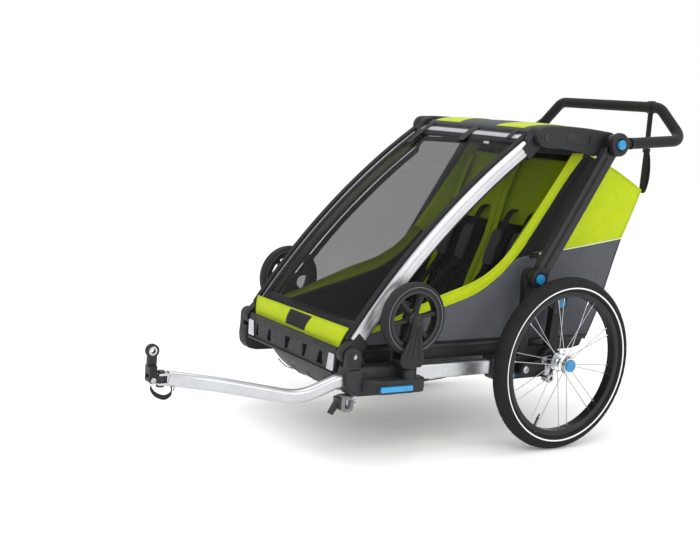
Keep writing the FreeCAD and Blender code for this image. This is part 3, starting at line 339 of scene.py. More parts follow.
def stitching(path, pitch=0.0045, length=0.003, radius=0.00035):
    """A row of stitches along a line."""
    total = sum((b - a).length for a, b in zip(path, path[1:]))
    count = max(2, int(total / pitch))
    points = spaced(path, count + 1)
    verts, faces = [], []
    for a, b in zip(points, points[1:]):
        run = (b - a).normalized()
        middle = (a + b) / 2
        one = run.orthogonal().normalized()
        two = run.cross(one)
        start = len(verts)
        for shift, wide in ((-0.5, 0.4), (-0.25, 1.0), (0.25, 1.0), (0.5, 0.4)):
            for k in range(4):
                angle = math.pi / 2 * k
                ring = (one * math.cos(angle) + two * math.sin(angle)) * radius * wide
                verts.append(middle + run * length * shift + ring)
        for r in range(3):
            for k in range(4):
                m = (k + 1) % 4
                faces.append((start + r * 4 + k, start + r * 4 + m,
                              start + r * 4 + 4 + m, start + r * 4 + 4 + k))
        faces += [tuple(start + k for k in range(4)), tuple(start + 12 + k for k in range(4))]
    return mesh_of("stitches", verts, faces)


def bolt_head(centre, radius, height, axis="x", sign=1):
    """A domed cap with a six-sided socket."""
    profile = [(0, radius), (height * 0.6, radius), (height * 0.9, radius * 0.85),
               (height, radius * 0.55),
               (height, radius * 0.5), (height * 0.4, radius * 0.48), (height * 0.4, 0)]
    return turned(facing(sign, profile), centre, axis, 36)


# ---------------------------------------------------------------- materials

def shade(r, g, b):
    """A colour given as it looks on a screen, from 0 to 255."""
    def line(v):
        v /= 255
        return v / 12.92 if v <= 0.04045 else ((v + 0.055) / 1.055) ** 2.4
    return (line(r), line(g), line(b), 1.0)


class Finish:
    """A procedural material, built up from its own space in metres."""

    def __init__(self, name, colour, rough, metal=0.0, specular=0.5, coat=0.0, sheen=0.0,
                 alpha=1.0):
        self.material = bpy.data.materials.new(name)
        self.material.use_nodes = True
        tree = self.material.node_tree
        self.nodes, self.links = tree.nodes, tree.links
        self.shader = self.nodes["Principled BSDF"]
        self.shader.inputs["Roughness"].default_value = rough
        self.shader.inputs["Metallic"].default_value = metal
        self.shader.inputs["Specular IOR Level"].default_value = specular
        self.shader.inputs["Coat Weight"].default_value = coat
        self.shader.inputs["Coat Roughness"].default_value = 0.25
        self.shader.inputs["Sheen Weight"].default_value = sheen
        self.shader.inputs["Sheen Roughness"].default_value = 0.45
        self.shader.inputs["Alpha"].default_value = alpha
        self.rough = rough
        self.where = self.nodes.new("ShaderNodeTexCoord").outputs["Object"]
        tint = self.nodes.new("ShaderNodeRGB")
        tint.outputs[0].default_value = colour
        self.colour = tint.outputs[0]
        self.normal = None

    def noise(self, scale, detail=3.0, stretch=None):
        texture = self.nodes.new("ShaderNodeTexNoise")
        texture.inputs["Scale"].default_value = scale
        texture.inputs["Detail"].default_value = detail
        if stretch:
            mapping = self.nodes.new("ShaderNodeMapping")
            mapping.inputs["Scale"].default_value = stretch
            self.links.new(self.where, mapping.inputs["Vector"])
            self.links.new(mapping.outputs[0], texture.inputs["Vector"])
        else:
            self.links.new(self.where, texture.inputs["Vector"])
        return texture.outputs["Fac"]

    def spread(self, value, low, high, start=0.3, end=0.7):
        node = self.nodes.new("ShaderNodeMapRange")
        for name, number in (("From Min", start), ("From Max", end), ("To Min", low),
                             ("To Max", high)):
            node.inputs[name].default_value = number
        self.links.new(value, node.inputs["Value"])
        return node.outputs[0]

    def mottled(self, scale, amount, stretch=None):
        """Lighter and darker patches."""
        value = self.spread(self.noise(scale, stretch=stretch), 1 - amount, 1 + amount)
        node = self.nodes.new("ShaderNodeHueSaturation")
        self.links.new(value, node.inputs["Value"])
        self.links.new(self.colour, node.inputs["Color"])
        self.colour = node.outputs[0]
        return self

    def tinted(self, factor, colour):
        node = self.nodes.new("ShaderNodeMixRGB")
        self.links.new(factor, node.inputs[0])
        self.links.new(self.colour, node.inputs[1])
        node.inputs[2].default_value = colour
        self.colour = node.outputs[0]
        return self

    def dull_patches(self, scale, amount, stretch=None):
        value = self.spread(self.noise(scale, stretch=stretch), self.rough - amount,
                            self.rough + amount)
        self.links.new(value, self.shader.inputs["Roughness"])
        return self

    def bump(self, height, strength, distance):
        node = self.nodes.new("ShaderNodeBump")
        node.inputs["Strength"].default_value = strength
        node.inputs["Distance"].default_value = distance
        self.links.new(height, node.inputs["Height"])
        if self.normal:
            self.links.new(self.normal, node.inputs["Normal"])
        self.normal = node.outputs[0]
        return self

    def grained(self, scale, strength, distance=0.0003, detail=4.0, stretch=None):
        return self.bump(self.noise(scale, detail, stretch), strength, distance)

    def threads(self, pitch):
        """Raised threads both ways on every face."""
        total = None
        for direction in "XYZ":
            wave = self.nodes.new("ShaderNodeTexWave")
            wave.bands_direction = direction
            wave.inputs["Scale"].default_value = 0.314 / pitch
            wave.inputs["Distortion"].default_value = 0.4
            wave.inputs["Detail"].default_value = 1.0
            wave.inputs["Detail Scale"].default_value = 0.6
            self.links.new(self.where, wave.inputs["Vector"])
            if total is None:
                total = wave.outputs["Fac"]
            else:
                add = self.nodes.new("ShaderNodeMath")
                add.operation = "ADD"
                self.links.new(total, add.inputs[0])
                self.links.new(wave.outputs["Fac"], add.inputs[1])
                total = add.outputs[0]
        return total

    def woven(self, pitch, strength, distance, contrast=0.12):
        total = self.threads(pitch)
        self.bump(total, strength, distance)
        value = self.spread(total, 1 - contrast, 1 + contrast, 0.6, 2.2)
        node = self.nodes.new("ShaderNodeHueSaturation")
        self.links.new(value, node.inputs["Value"])
        self.links.new(self.colour, node.inputs["Color"])
        self.colour = node.outputs[0]
        return self

    def edge_worn(self, colour, low=0.515, high=0.56):
        """Rubbed lighter along its outer edges."""
        geometry = self.nodes.new("ShaderNodeNewGeometry")
        self.tinted(self.spread(geometry.outputs["Pointiness"], 0.0, 0.45, low, high), colour)
        return self

    def done(self):
        self.links.new(self.colour, self.shader.inputs["Base Color"])
        if self.normal:
            self.links.new(self.normal, self.shader.inputs["Normal"])
        return self.material


def fabric(name, colour, pitch=0.0011, rough=0.8, sheen=0.08, contrast=0.04):
    made = Finish(name, colour, rough, specular=0.25, sheen=sheen)
    made.woven(pitch, 0.08, 0.0003, contrast).mottled(9, 0.035).mottled(70, 0.03)
    return made.grained(28, 0.07, 0.004).dull_patches(40, 0.06).done()


def moulded(name, colour, rough=0.5, specular=0.4, grain=1600, coat=0.0):
    made = Finish(name, colour, rough, specular=specular, coat=coat)
    made.mottled(14, 0.05).edge_worn(tuple(min(1, c * 1.9 + 0.01) for c in colour[:3]) + (1,))
    return made.grained(grain, 0.05, 0.00015).grained(260, 0.03, 0.0005).dull_patches(55,
                                                                                      0.08).done()


def metal(name, colour, rough, stretch=(1, 1, 1), scale=400, strength=0.06, coat=0.0):
    made = Finish(name, colour, rough, metal=1.0, coat=coat)
    made.mottled(12, 0.04).mottled(scale, 0.04, stretch)
    return made.grained(scale, strength, 0.0002, stretch=stretch).dull_patches(90, 0.06,
                                                                               stretch).done()


LIME = shade(168, 186, 0)
lime = fabric("lime_fabric", LIME, rough=0.72)
# painted light: the cabin's lime fabric is painted lighter than the outer lime to make up for the
# shade the tinted films cast inside the cabin
lime_inside_painted_light = fabric("lime_inside_painted_light", shade(196, 226, 0), rough=0.8)
slate = fabric("slate_fabric", shade(76, 78, 84))
roof_cloth = fabric("roof_fabric", shade(58, 59, 62), contrast=0.04)
black_cloth = fabric("black_fabric", shade(18, 18, 20), contrast=0.05)
lining = fabric("lining", shade(12, 12, 14), contrast=0.05)
webbing = fabric("black_webbing", shade(24, 24, 26), pitch=0.0022, rough=0.65, contrast=0.1)
pad_grey = fabric("grey_pad", shade(92, 93, 97), pitch=0.0015)
hem_black = fabric("black_binding", shade(18, 18, 20), pitch=0.0016, contrast=0.06)
pale_piping = (Finish("pale_piping", shade(208, 216, 170), 0.5)
               .mottled(60, 0.06).woven(0.0009, 0.3, 0.0002).done())
reflective = (Finish("reflective_tape", shade(170, 172, 176), 0.35, metal=0.45)
              .woven(0.0016, 0.3, 0.0002, 0.08).mottled(30, 0.06).done())
nylon = moulded("black_nylon", shade(20, 20, 22), specular=0.3)
nylon_soft = moulded("black_nylon_smooth", shade(16, 16, 18), rough=0.38, specular=0.4)
dark_grey = moulded("dark_grey_plastic", shade(28, 29, 31), rough=0.52, specular=0.3)
belly_grey = moulded("belly_plastic", shade(34, 35, 37), rough=0.45, coat=0.1)
clamp_grey = moulded("clamp_grey", shade(100, 101, 103), rough=0.45)
blue = moulded("touch_blue", shade(26, 120, 168), rough=0.36, specular=0.5, coat=0.2)
plate = moulded("label_plate", shade(12, 12, 14), rough=0.3)
foam = (Finish("foam_grip", shade(24, 24, 26), 0.85, specular=0.25, sheen=0.1)
        .mottled(30, 0.06).grained(1300, 0.5, 0.0004).grained(200, 0.1, 0.001).done())
satin = metal("satin_aluminium", shade(188, 189, 192), 0.34, (40, 1, 1), 60, 0.05)
pillar_white = metal("pillar_aluminium", shade(200, 201, 204), 0.42, (60, 3, 3), 40, 0.04)
steel = metal("steel", shade(176, 178, 182), 0.3, (1, 1, 1), 300, 0.05)
chrome = metal("polished_hub", shade(214, 216, 220), 0.16, (1, 1, 1), 200, 0.03)
black_metal = (Finish("black_anodised", shade(22, 22, 25), 0.45, metal=0.3)
               .mottled(20, 0.08).grained(500, 0.05, 0.0002).edge_worn(shade(60, 60, 63))
               .dull_patches(60, 0.08).done())
rim_black = (Finish("rim_black", shade(26, 26, 28), 0.42, metal=0.4)
             .mottled(18, 0.08).grained(700, 0.08, 0.0002).dull_patches(60, 0.1).done())
rubber = (Finish("tyre_rubber", shade(28, 28, 29), 0.82, specular=0.2)
          .mottled(16, 0.1).mottled(120, 0.06).grained(900, 0.35, 0.0003).dull_patches(40,
                                                                                       0.08).done())
caster_rubber = (Finish("caster_rubber", shade(34, 34, 36), 0.75, specular=0.25)
                 .mottled(25, 0.08).grained(900, 0.3, 0.0003).dull_patches(60, 0.08).done())
stripe = (Finish("tyre_stripe", shade(226, 227, 228), 0.4, metal=0.2)
          .mottled(40, 0.04).grained(900, 0.1, 0.0002).done())
prism_face = (Finish("reflector", shade(196, 198, 202), 0.18, metal=0.6)
              .woven(0.0024, 0.9, 0.0006, 0.2).mottled(60, 0.1).done())


def see_through(name, colour, alpha, rough):
    made = Finish(name, colour, rough, specular=0.12, alpha=alpha)
    return made.mottled(6, 0.06).grained(5, 0.05, 0.006).dull_patches(20, 0.05).done()


cover_film = see_through("cover_film", shade(10, 10, 10), 0.35, 0.22)
window_film = see_through("window_film", shade(8, 8, 8), 0.33, 0.16)


# ---------------------------------------------------------------- carried-over CAD pieces

def repaint(node, finish, edge=0.0008):
    """A better finish, and softened edges, on a piece whose CAD shape is right."""
    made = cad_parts[node]
    for holder in made.material_slots:
        holder.link = "OBJECT"
        holder.material = finish
    if not made.material_slots:
        made.data.materials.append(finish)
    if edge:
        weld = made.modifiers.new("weld", "WELD")
        weld.merge_threshold = 0.00002
        soft = made.modifiers.new("edges", "BEVEL")
        soft.width = edge
        soft.segments = 2
        soft.limit_method = "ANGLE"
        soft.angle_limit = math.radians(34)
        soft.use_clamp_overlap = True
        soft.harden_normals = False


for node, finish, edge in (
        ("side_rails", satin, 0.001), ("rear_castings", nylon, 0.0015), ("uprights", nylon, 0.0012),
        ("pivot_pins", steel, 0.0006), ("cross_tubes", black_metal, 0.0),
                           ("front_roof_bar", black_metal, 0.0),
        ("rear_roof_bar", black_metal, 0.0), ("handlebar", foam, 0.0), ("tow_arm", satin, 0.0008),
        ("tow_pin", steel, 0.0005), ("hitch_yoke", black_metal, 0.0006),
                           ("hitch_block", nylon, 0.001)):
    repaint(node, finish, edge)
for side, _ in SIDES:
    for node, finish, edge in (
            ("rear_post", nylon_soft, 0.003), ("handle_button", blue, 0.001),
                               ("fold_lock_button", blue, 0.001),
            ("upright_button", blue, 0.001), ("suspension_arm", nylon, 0.0012),
                               ("rim", rim_black, 0.0),
            ("spokes", steel, 0.0), ("hub", chrome, 0.0006), ("hub_button", blue, 0.0012),
            ("adjuster_knob", blue, 0.0008), ("caster_post", steel, 0.0006),
                               ("caster_latch", blue, 0.0015)):
        repaint(f"{node}_{side}", finish, edge)


# ---------------------------------------------------------------- front pillars

LENGTH = math.dist(FOOT, ELBOW)
RUN = ((ELBOW[0] - FOOT[0]) / LENGTH, (ELBOW[1] - FOOT[1]) / LENGTH)


def off_chord(run, rise):
    """A side point by its distance along the pillar's straight chord, and off it to the front."""
    return FOOT[0] + RUN[0] * run - RUN[1] * rise, FOOT[1] + RUN[1] * run + RUN[0] * rise


def on_pillar(x, run, rise=0.0):
    """A point by its distance up the front pillar's bowed line, and off it to the front."""
    bow = PILLAR_BOW * (1 - (2 * run / LENGTH - 1) ** 2)
    return at(x, *off_chord(run, rise + bow))


def pillar(side, sign):
    inner, outer = 0.246, 0.272
    middle = sign * (inner + outer) / 2
    a, b = (outer - inner) / 2, 0.0205
    r, groove, lip = 0.004, 0.0014, 0.0011
    out = []
    for up in (-0.0075, 0.0055):
        out += [(a, up - lip * 1.6), (a - groove, up - lip), (a - groove, up + lip),
                (a, up + lip * 1.6)]
    section = [(-a + r, -b), (a - r, -b), (a - r * 0.3, -b + r * 0.3), (a, -b + r), *out,
               (a, b - r),
               (a - r * 0.3, b - r * 0.3), (a - r, b), (-a + r, b), (-a + r * 0.3, b - r * 0.3),
               (-a, b - r), (-a, -b + r), (-a + r * 0.3, -b + r * 0.3)]
    section = facing(sign, section)
    path = [on_pillar(middle, 0.036 + (LENGTH - 0.092) * i / 40) for i in range(41)]
    piece(f"pillar_{side}", swept(path, section), pillar_white, "front_frame",
          [f"front_pillar_{side}"], angle=25)
    for edge, rise in (("front", 0.0225), ("rear", -0.0235)):
        path = [on_pillar(sign * 0.250, 0.03 + (LENGTH - 0.07) * i / 40, rise) for i in range(41)]
        flat = [(-0.006, -0.0035), (0.012, -0.0035), (0.0135, -0.002), (0.0135, 0.002),
                (0.012, 0.0035), (-0.006, 0.0035)]
        piece(f"pillar_{edge}_binding_{side}", swept(path, facing(sign, flat)), hem_black,
              "front_frame")
    lowest, highest = sorted((sign * 0.2445, sign * 0.2735))
    foot = prism("side", knuckle(FOOT, 0.0265, ELBOW, 0.058, 0.0235), lowest, highest, 0.0035)
    top = prism("side", knuckle(ELBOW, 0.0275, FOOT, 0.072, 0.0230), lowest, highest, 0.0035)
    piece(f"pillar_knuckles_{side}", joined([foot, top], "knuckles"), nylon, "front_frame")
    half, wide = 0.019, 0.003
    ribs = [slab(rounded([off_chord(run, half), off_chord(run, -half), off_chord(run + wide, -half),
                          off_chord(run + wide, half)], 0.001), sign * 0.270, sign * 0.2745,
                 0.0006) for run in (0.034, 0.041, 0.048)]
    piece(f"pillar_foot_ribs_{side}", joined(ribs, "ribs"), nylon_soft, "front_frame")


for side, sign in SIDES:
    pillar(side, sign)


# ---------------------------------------------------------------- roof arms and handlebar

def roof_arm(side, sign):
    low, high = sorted((sign * 0.2752, sign * OUTER_FACE))
    front = disc_outline(ELBOW, 0.0300, 14, math.pi / 2, math.pi)
    rear = disc_outline(HUB, 0.0335, 12, -math.pi / 2, math.pi)
    under = [(-0.055, 0.8525), (-0.015, 0.8530), (0.030, 0.8500), (0.070, 0.8440), (0.105, 0.8385),
             (0.135, 0.8400)]
    over = [(0.120, 0.9135), (0.070, 0.9165), (0.015, 0.9180), (-0.040, 0.9170)]
    body = prism("side", [*front, *under, *rear, *over], low, high, 0.0055, 4)
    piece(f"roof_arm_cover_{side}", body, dark_grey, "roof_frame",
          [f"roof_arm_{side}"], angle=50)
    face = sign * OUTER_FACE
    shell = slab(rounded([(-0.012, 0.8720), (0.078, 0.8700), (0.084, 0.9005), (-0.006, 0.9020)],
                         0.006), face - sign * 0.001, face + sign * 0.0010, 0.0006)
    piece(f"roof_arm_plate_{side}", shell, plate, "roof_frame")
    rim = [at(face + sign * 0.0003, y, z) for y, z in
           [*rounded([(-0.015, 0.8695), (0.081, 0.8675), (0.0875, 0.9030), (-0.009, 0.9045)],
                     0.008)]]
    piece(f"roof_arm_plate_rim_{side}", tube([*rim, rim[0]], 0.0008, 6), dark_grey, "roof_frame")
    boss = turned(facing(sign, [(-0.003, 0.0215), (0.0012, 0.0215), (0.0022, 0.0205),
                                (0.0022, 0.0175), (0.0010, 0.0168), (0.0010, 0.0125),
                                (0.0026, 0.0118), (0.0026, 0.0045), (0.0006, 0.0040),
                                (0.0006, 0.0)]),
                  at(face, *ELBOW), "x", 56)
    piece(f"elbow_cap_{side}", boss, nylon_soft, "roof_frame")


def handle_hub(side, sign):
    """The black ring round the handlebar's button, and the bar's bare arm behind it."""
    c = at(0, *HUB)
    profile = [(0.325, 0.0), (0.325, 0.0300), (0.3265, 0.0325), (0.3380, 0.0335), (0.3412, 0.0325),
               (0.3428, 0.0300),
               (0.3430, 0.0215), (0.3420, 0.0185), (0.3400, 0.0165), (0.3385, 0.0148),
               (0.3312, 0.0148), (0.3312, 0.0)]
    ring = turned(facing(sign, profile), c, "x", 72)
    groove = turned(facing(sign, [(0.3290, 0.0322), (0.3290, 0.0341), (0.3305, 0.0341),
                                  (0.3305, 0.0322)]), c, "x", 72)
    slope = (0.902 - HUB[1]) / (0.445 - HUB[0])
    arm = [at(sign * 0.3185, HUB[0] + 0.012 + run, HUB[1] + slope * (0.012 + run))
           for run in (0, 0.02, 0.035, 0.05, 0.064)]
    bar = tube(arm, 0.0118, 20)
    sleeve = tube([at(sign * 0.318, HUB[0] + run, HUB[1] + slope * run)
                   for run in (0.0590, 0.0605, 0.0660, 0.0665)], 0.0172, 28)
    shoulder = slab(rounded([(HUB[0] + 0.004, HUB[1] - 0.017), (HUB[0] + 0.046, HUB[1] - 0.0095),
                             (HUB[0] + 0.046, HUB[1] + 0.0165), (HUB[0] + 0.004, HUB[1] + 0.020)],
                            0.006), sign * 0.3255, sign * 0.334, 0.003)
    piece(f"handle_hub_{side}", joined([ring, groove, bar, sleeve, shoulder], "hub"), nylon,
          "handle",
          ["handle_hubs"], angle=40)


for side, sign in SIDES:
    roof_arm(side, sign)
    handle_hub(side, sign)


# ---------------------------------------------------------------- road wheels

def road_wheel(side, sign):
    c = at(sign * TRACK, 0, WHEEL_RADIUS)
    body = f"wheel_{side}"
    ring, r = 0.2265, 0.0235
    profile = []
    for i in range(49):
        angle = math.radians(-132 + 264 * i / 48)
        profile.append((r * math.sin(angle), ring + r * math.cos(angle)))
    inner = [(0.0125, 0.2098), (0.0105, 0.2180), (-0.0105, 0.2180), (-0.0125, 0.2098)]
    profile = [*profile, *inner, profile[0]]

    def tread(i, along, radius):
        if radius < 0.2385:
            return -0.0004 if radius > 0.2300 and i % 2 else 0.0
        row = int((along + 0.03) / 0.0052)
        block = (i + row * 2) % 6
        groove = abs(((along + 0.03) / 0.0052) % 1 - 0.5) > 0.36
        return -0.0013 if groove or block < 2 else 0.0

    piece(f"road_tyre_{side}", turned(profile, c, "x", 300, tread), rubber, body,
          [f"tyre_{side}"], angle=60)
    bands = []
    low, high, proud = 0.2194, 0.2232, 0.0004
    for face in (1, -1):
        line = []
        for i in range(7):
            radius = low + (high - low) * i / 6
            line.append((face * (math.sqrt(r * r - (radius - ring) ** 2) + proud), radius))
        back = [(face * (abs(a) - 0.0009), b) for a, b in reversed(line)]
        bands.append(turned([*line, *back, line[0]], c, "x", 160))
    piece(f"tyre_stripe_{side}", joined(bands, "stripes"), stripe, body)
    beads = []
    for face in (1, -1):
        for radius in (0.2120, 0.2150, 0.2300):
            out = math.sqrt(max(1e-9, r * r - (radius - ring) ** 2))
            beads.append(turned([(face * (out + 0.0005 * math.cos(k)),
                                  radius + 0.0006 * math.sin(k))
                                 for k in [2 * math.pi * j / 6 for j in range(7)]], c, "x", 120))
    piece(f"tyre_moulded_lines_{side}", joined(beads, "lines"), rubber, body)
    nipples = []
    for i in range(20):
        turn = 2 * math.pi * (i + (0.28 if i % 2 else -0.28)) / 20
        heel = 2 * math.pi * i / 20
        gap = 0.015 if i % 2 else -0.015
        end = Vector((gap * 0.12, 0.1944 * math.sin(turn), 0.1944 * math.cos(turn)))
        start = Vector((gap, 0.0243 * math.sin(heel), 0.0243 * math.cos(heel)))
        inward = (start - end).normalized()
        nipples.append(tube([c + end + inward * t for t in (0.0, 0.002, 0.010, 0.0125)], 0.0021, 8))
        nipples.append(tube([c + start - inward * t for t in (-0.002, 0.004)], 0.0019, 8))
    piece(f"spoke_nipples_{side}", joined(nipples, "nipples"), chrome, body)
    profile = [(0.0155, 0.0240), (0.0170, 0.0290), (0.0182, 0.0300), (0.0192, 0.0290),
               (0.0200, 0.0250), (0.0230, 0.0232),
               (0.0262, 0.0226), (0.0262, 0.0180), (0.0155, 0.0180), (0.0155, 0.0240)]
    inner_flange = [(-0.0155, 0.0240), (-0.0170, 0.0275), (-0.0185, 0.0275), (-0.0195, 0.0180),
                    (-0.0155, 0.0180), (-0.0155, 0.0240)]
    flange = joined([turned(facing(sign, profile), c, "x", 64),
                     turned(facing(sign, inner_flange), c, "x", 64)], "flange")
    piece(f"hub_flange_{side}", flange, chrome, body)
    stem = math.radians(205)
    out = Vector((0, math.sin(stem), math.cos(stem)))
    stem_line = [c + out * t for t in (0.196, 0.176, 0.1755, 0.168, 0.1675, 0.158)]
    valve = joined([tube(stem_line[:2], 0.0030, 12), tube(stem_line[2:4], 0.0038, 12),
                    tube(stem_line[4:], 0.0024, 12)], "valve")
    piece(f"valve_{side}", valve, nylon_soft, body)


for side, sign in SIDES:
    road_wheel(side, sign)


# ---------------------------------------------------------------- suspension details

def suspension(side, sign):
    body = f"suspension_{side}"
    low, high = sorted((sign * 0.3035, sign * 0.3255))
    bracket = prism("side", rounded([(-0.040, 0.262), (0.012, 0.268), (0.016, 0.252),
                                     (-0.004, 0.240), (-0.010, 0.206),
                                     (-0.026, 0.206), (-0.028, 0.240), (-0.044, 0.246)], 0.004),
                    low, high, 0.002)
    ring = turned(facing(sign, [(0.3015, 0.0065), (0.3015, 0.0120), (0.3035, 0.0135),
                                (0.3235, 0.0135), (0.3255, 0.0120), (0.3255, 0.0065),
                                (0.3015, 0.0065)]), at(0, -0.002, 0.196), "x", 40)
    piece(f"suspension_bracket_{side}", joined([bracket, ring], "bracket"), steel, body)
    drum = turned(facing(sign, [(0.2990, 0.0), (0.2990, 0.0330), (0.3010, 0.0360), (0.3080, 0.0370),
                                (0.3180, 0.0360), (0.3200, 0.0320), (0.3190, 0.0250),
                                (0.3215, 0.0240), (0.3225, 0.0170), (0.3380, 0.0150),
                                (0.3380, 0.0)]), at(0, 0.0, WHEEL_RADIUS), "x", 56)
    piece(f"axle_housing_{side}", drum, nylon, body)
    heads = [bolt_head(at(sign * 0.3222, -0.100, 0.228), 0.0105, 0.005, "x", sign),
             bolt_head(at(sign * 0.3252, -0.030, 0.256), 0.0055, 0.003, "x", sign)]
    piece(f"suspension_bolts_{side}", joined(heads, "bolts"), steel, body)
    spring = []
    for i in range(97):
        t = i / 96
        angle = t * 2 * math.pi * 6
        spring.append(at(sign * 0.3085 + 0.0085 * math.cos(angle), -0.078 + 0.052 * t,
                         0.2215 + 0.0085 * math.sin(angle)))
    piece(f"suspension_coil_{side}", tube(spring, 0.0016, 8), black_metal, body)
    knob = [turned(facing(sign, [(0.2974, 0.0092), (0.3040, 0.0098), (0.3090, 0.0098),
                                 (0.3095, 0.0060)]),
                   at(0, -0.142, 0.212), "x", 24, lambda i, a,
                   r: 0.0008 if i % 3 == 0 and r > 0.009 else 0.0)]
    piece(f"adjuster_grip_{side}", joined(knob, "grip"), nylon_soft, f"adjuster_knob_{side}")


def chassis_details(side, sign):
    face = sign * OUTER_FACE
    heads = [bolt_head(at(face, -0.075, 0.236), 0.007, 0.0035, "x", sign),
             bolt_head(at(face, -0.190, 0.232), 0.006, 0.003, "x", sign),
             bolt_head(at(face, 0.012, 0.232), 0.006, 0.003, "x", sign)]
    piece(f"rear_bolts_{side}", joined(heads, "bolts"), steel, "chassis")
    slot_plate = slab(rounded([(0.005, 0.382), (0.050, 0.382), (0.060, 0.440), (0.013, 0.446)],
                              0.008), face, face + sign * 0.0018, 0.0008)
    hole = slab(disc_outline((LOCK[0] + 0.118, LOCK[1] - 0.075), 0.0158, 32), face + sign * 0.0012,
                face + sign * 0.0026, 0.0005)
    piece(f"upright_plate_{side}", joined([slot_plate, hole], "plate"), nylon_soft, "chassis")
    guard = [(LOCK[0] - 0.030, LOCK[1] - 0.004), (LOCK[0] - 0.024, LOCK[1] - 0.052),
             (LOCK[0] - 0.022, 0.36), (LOCK[0] - 0.030, 0.262),
             (LOCK[0] - 0.012, 0.262), (LOCK[0] - 0.002, 0.36), (LOCK[0] + 0.004, LOCK[1] - 0.048),
             (LOCK[0] + 0.026, LOCK[1] - 0.020)]
    piece(f"post_guard_{side}", slab(rounded(guard, 0.006), sign * 0.2745, sign * 0.2990, 0.003),
          nylon, "chassis")
    lock = turned(facing(sign, [(0.3195, 0.0275), (0.3205, 0.0290), (0.3240, 0.0290),
                                (0.3262, 0.0275), (0.3268, 0.0240), (0.3268, 0.0185),
                                (0.3250, 0.0160), (0.3215, 0.0152), (0.3195, 0.0152),
                                (0.3195, 0.0275)]),
                  at(0, *LOCK), "x", 60)
    piece(f"fold_lock_ring_{side}", lock, nylon, "rear_frame")
    aim = Vector((HUB[0] - LOCK[0], HUB[1] - LOCK[1])).normalized()
    off = Vector((-aim.y, aim.x))
    for label, rise in (("front", 0.0212), ("rear", -0.0212)):
        line = [at(sign * 0.311, *(Vector(LOCK) + aim * (0.03 + 0.40 * i / 20) + off * rise))
                for i in range(21)]
        flat = [(-0.0105, -0.0022), (0.0105, -0.0022), (0.0118, 0.0), (0.0105, 0.0022),
                (-0.0105, 0.0022), (-0.0118, 0.0)]
        piece(f"post_{label}_rib_{side}", swept(line, flat), black_metal, "rear_frame")
    line = [at(sign * 0.3224, *(Vector(LOCK) + aim * (0.035 + 0.375 * i / 20) + off * 0.004))
            for i in range(21)]
    piece(f"post_inlay_{side}", swept(line, [(-0.0006, -0.0045), (0.0008, -0.0035),
                                             (0.0008, 0.0035), (-0.0006, 0.0045)]), hem_black,
          "rear_frame")


for side, sign in SIDES:
    suspension(side, sign)
    chassis_details(side, sign)


# ---------------------------------------------------------------- front castings and casters

CASTER = (-0.517, 0.392)


def front_casting(side, sign):
    profile = [(-0.692, 0.262), (-0.694, 0.232), (-0.690, 0.206), (-0.676, 0.190), (-0.650, 0.184),
               (-0.560, 0.183),
               (-0.500, 0.186), (-0.474, 0.196), (-0.466, 0.212), (-0.466, 0.252), (-0.474, 0.262)]
    core = slab(rounded(profile, 0.006), sign * 0.2545, sign * 0.2975, 0.005)
    wing = [(0.296, -0.646), (0.318, -0.636), (0.336, -0.620), (0.3418, -0.602), (0.3418, -0.480),
            (0.334, -0.466), (0.296, -0.462)]
    shelf = prism("plan", rounded(facing(sign, wing), 0.008), 0.1965, 0.2335, 0.006)
    boss = turned([(0.196, 0.0), (0.196, 0.0150), (0.200, 0.0168), (0.2300, 0.0172),
                   (0.2550, 0.0176), (0.2585, 0.0160), (0.2585, 0.0088), (0.2400, 0.0086),
                   (0.2400, 0.0)],
                  at(sign * CASTER_X, CASTER[0], 0), "z", 48)
    ear = slab([(FOOT[0] - 0.021, 0.252), *disc_outline(FOOT, 0.0215, 20, math.pi, -math.pi),
                (FOOT[0] + 0.021, 0.252)], sign * 0.2755, sign * 0.2975, 0.003)
    lip = slab(rounded([(-0.622, 0.2005), (-0.500, 0.2005), (-0.500, 0.2230), (-0.622, 0.2230)],
                       0.005), sign * 0.3405, sign * 0.3424, 0.0008)
    piece(f"front_casting_{side}", joined([core, shelf, boss, ear, lip], "casting"), dark_grey,
          "chassis",
          ["front_castings"], angle=45)
    cap = bolt_head(at(sign * 0.2980, *FOOT), 0.0125, 0.0045, "x", sign)
    washer = turned(facing(sign, [(0.2965, 0.0180), (0.2990, 0.0178), (0.2995, 0.0165),
                                  (0.2990, 0.0120)]), at(0, *FOOT), "x", 48)
    piece(f"foot_bolt_{side}", joined([cap, washer], "bolt"), black_metal, "chassis")
    small = [bolt_head(at(sign * 0.2976, y, z), 0.0045, 0.0022, "x", sign) for y,
             z in ((-0.640, 0.246), (-0.612, 0.200), (-0.485, 0.247))]
    piece(f"casting_screws_{side}", joined(small, "screws"), black_metal, "chassis")


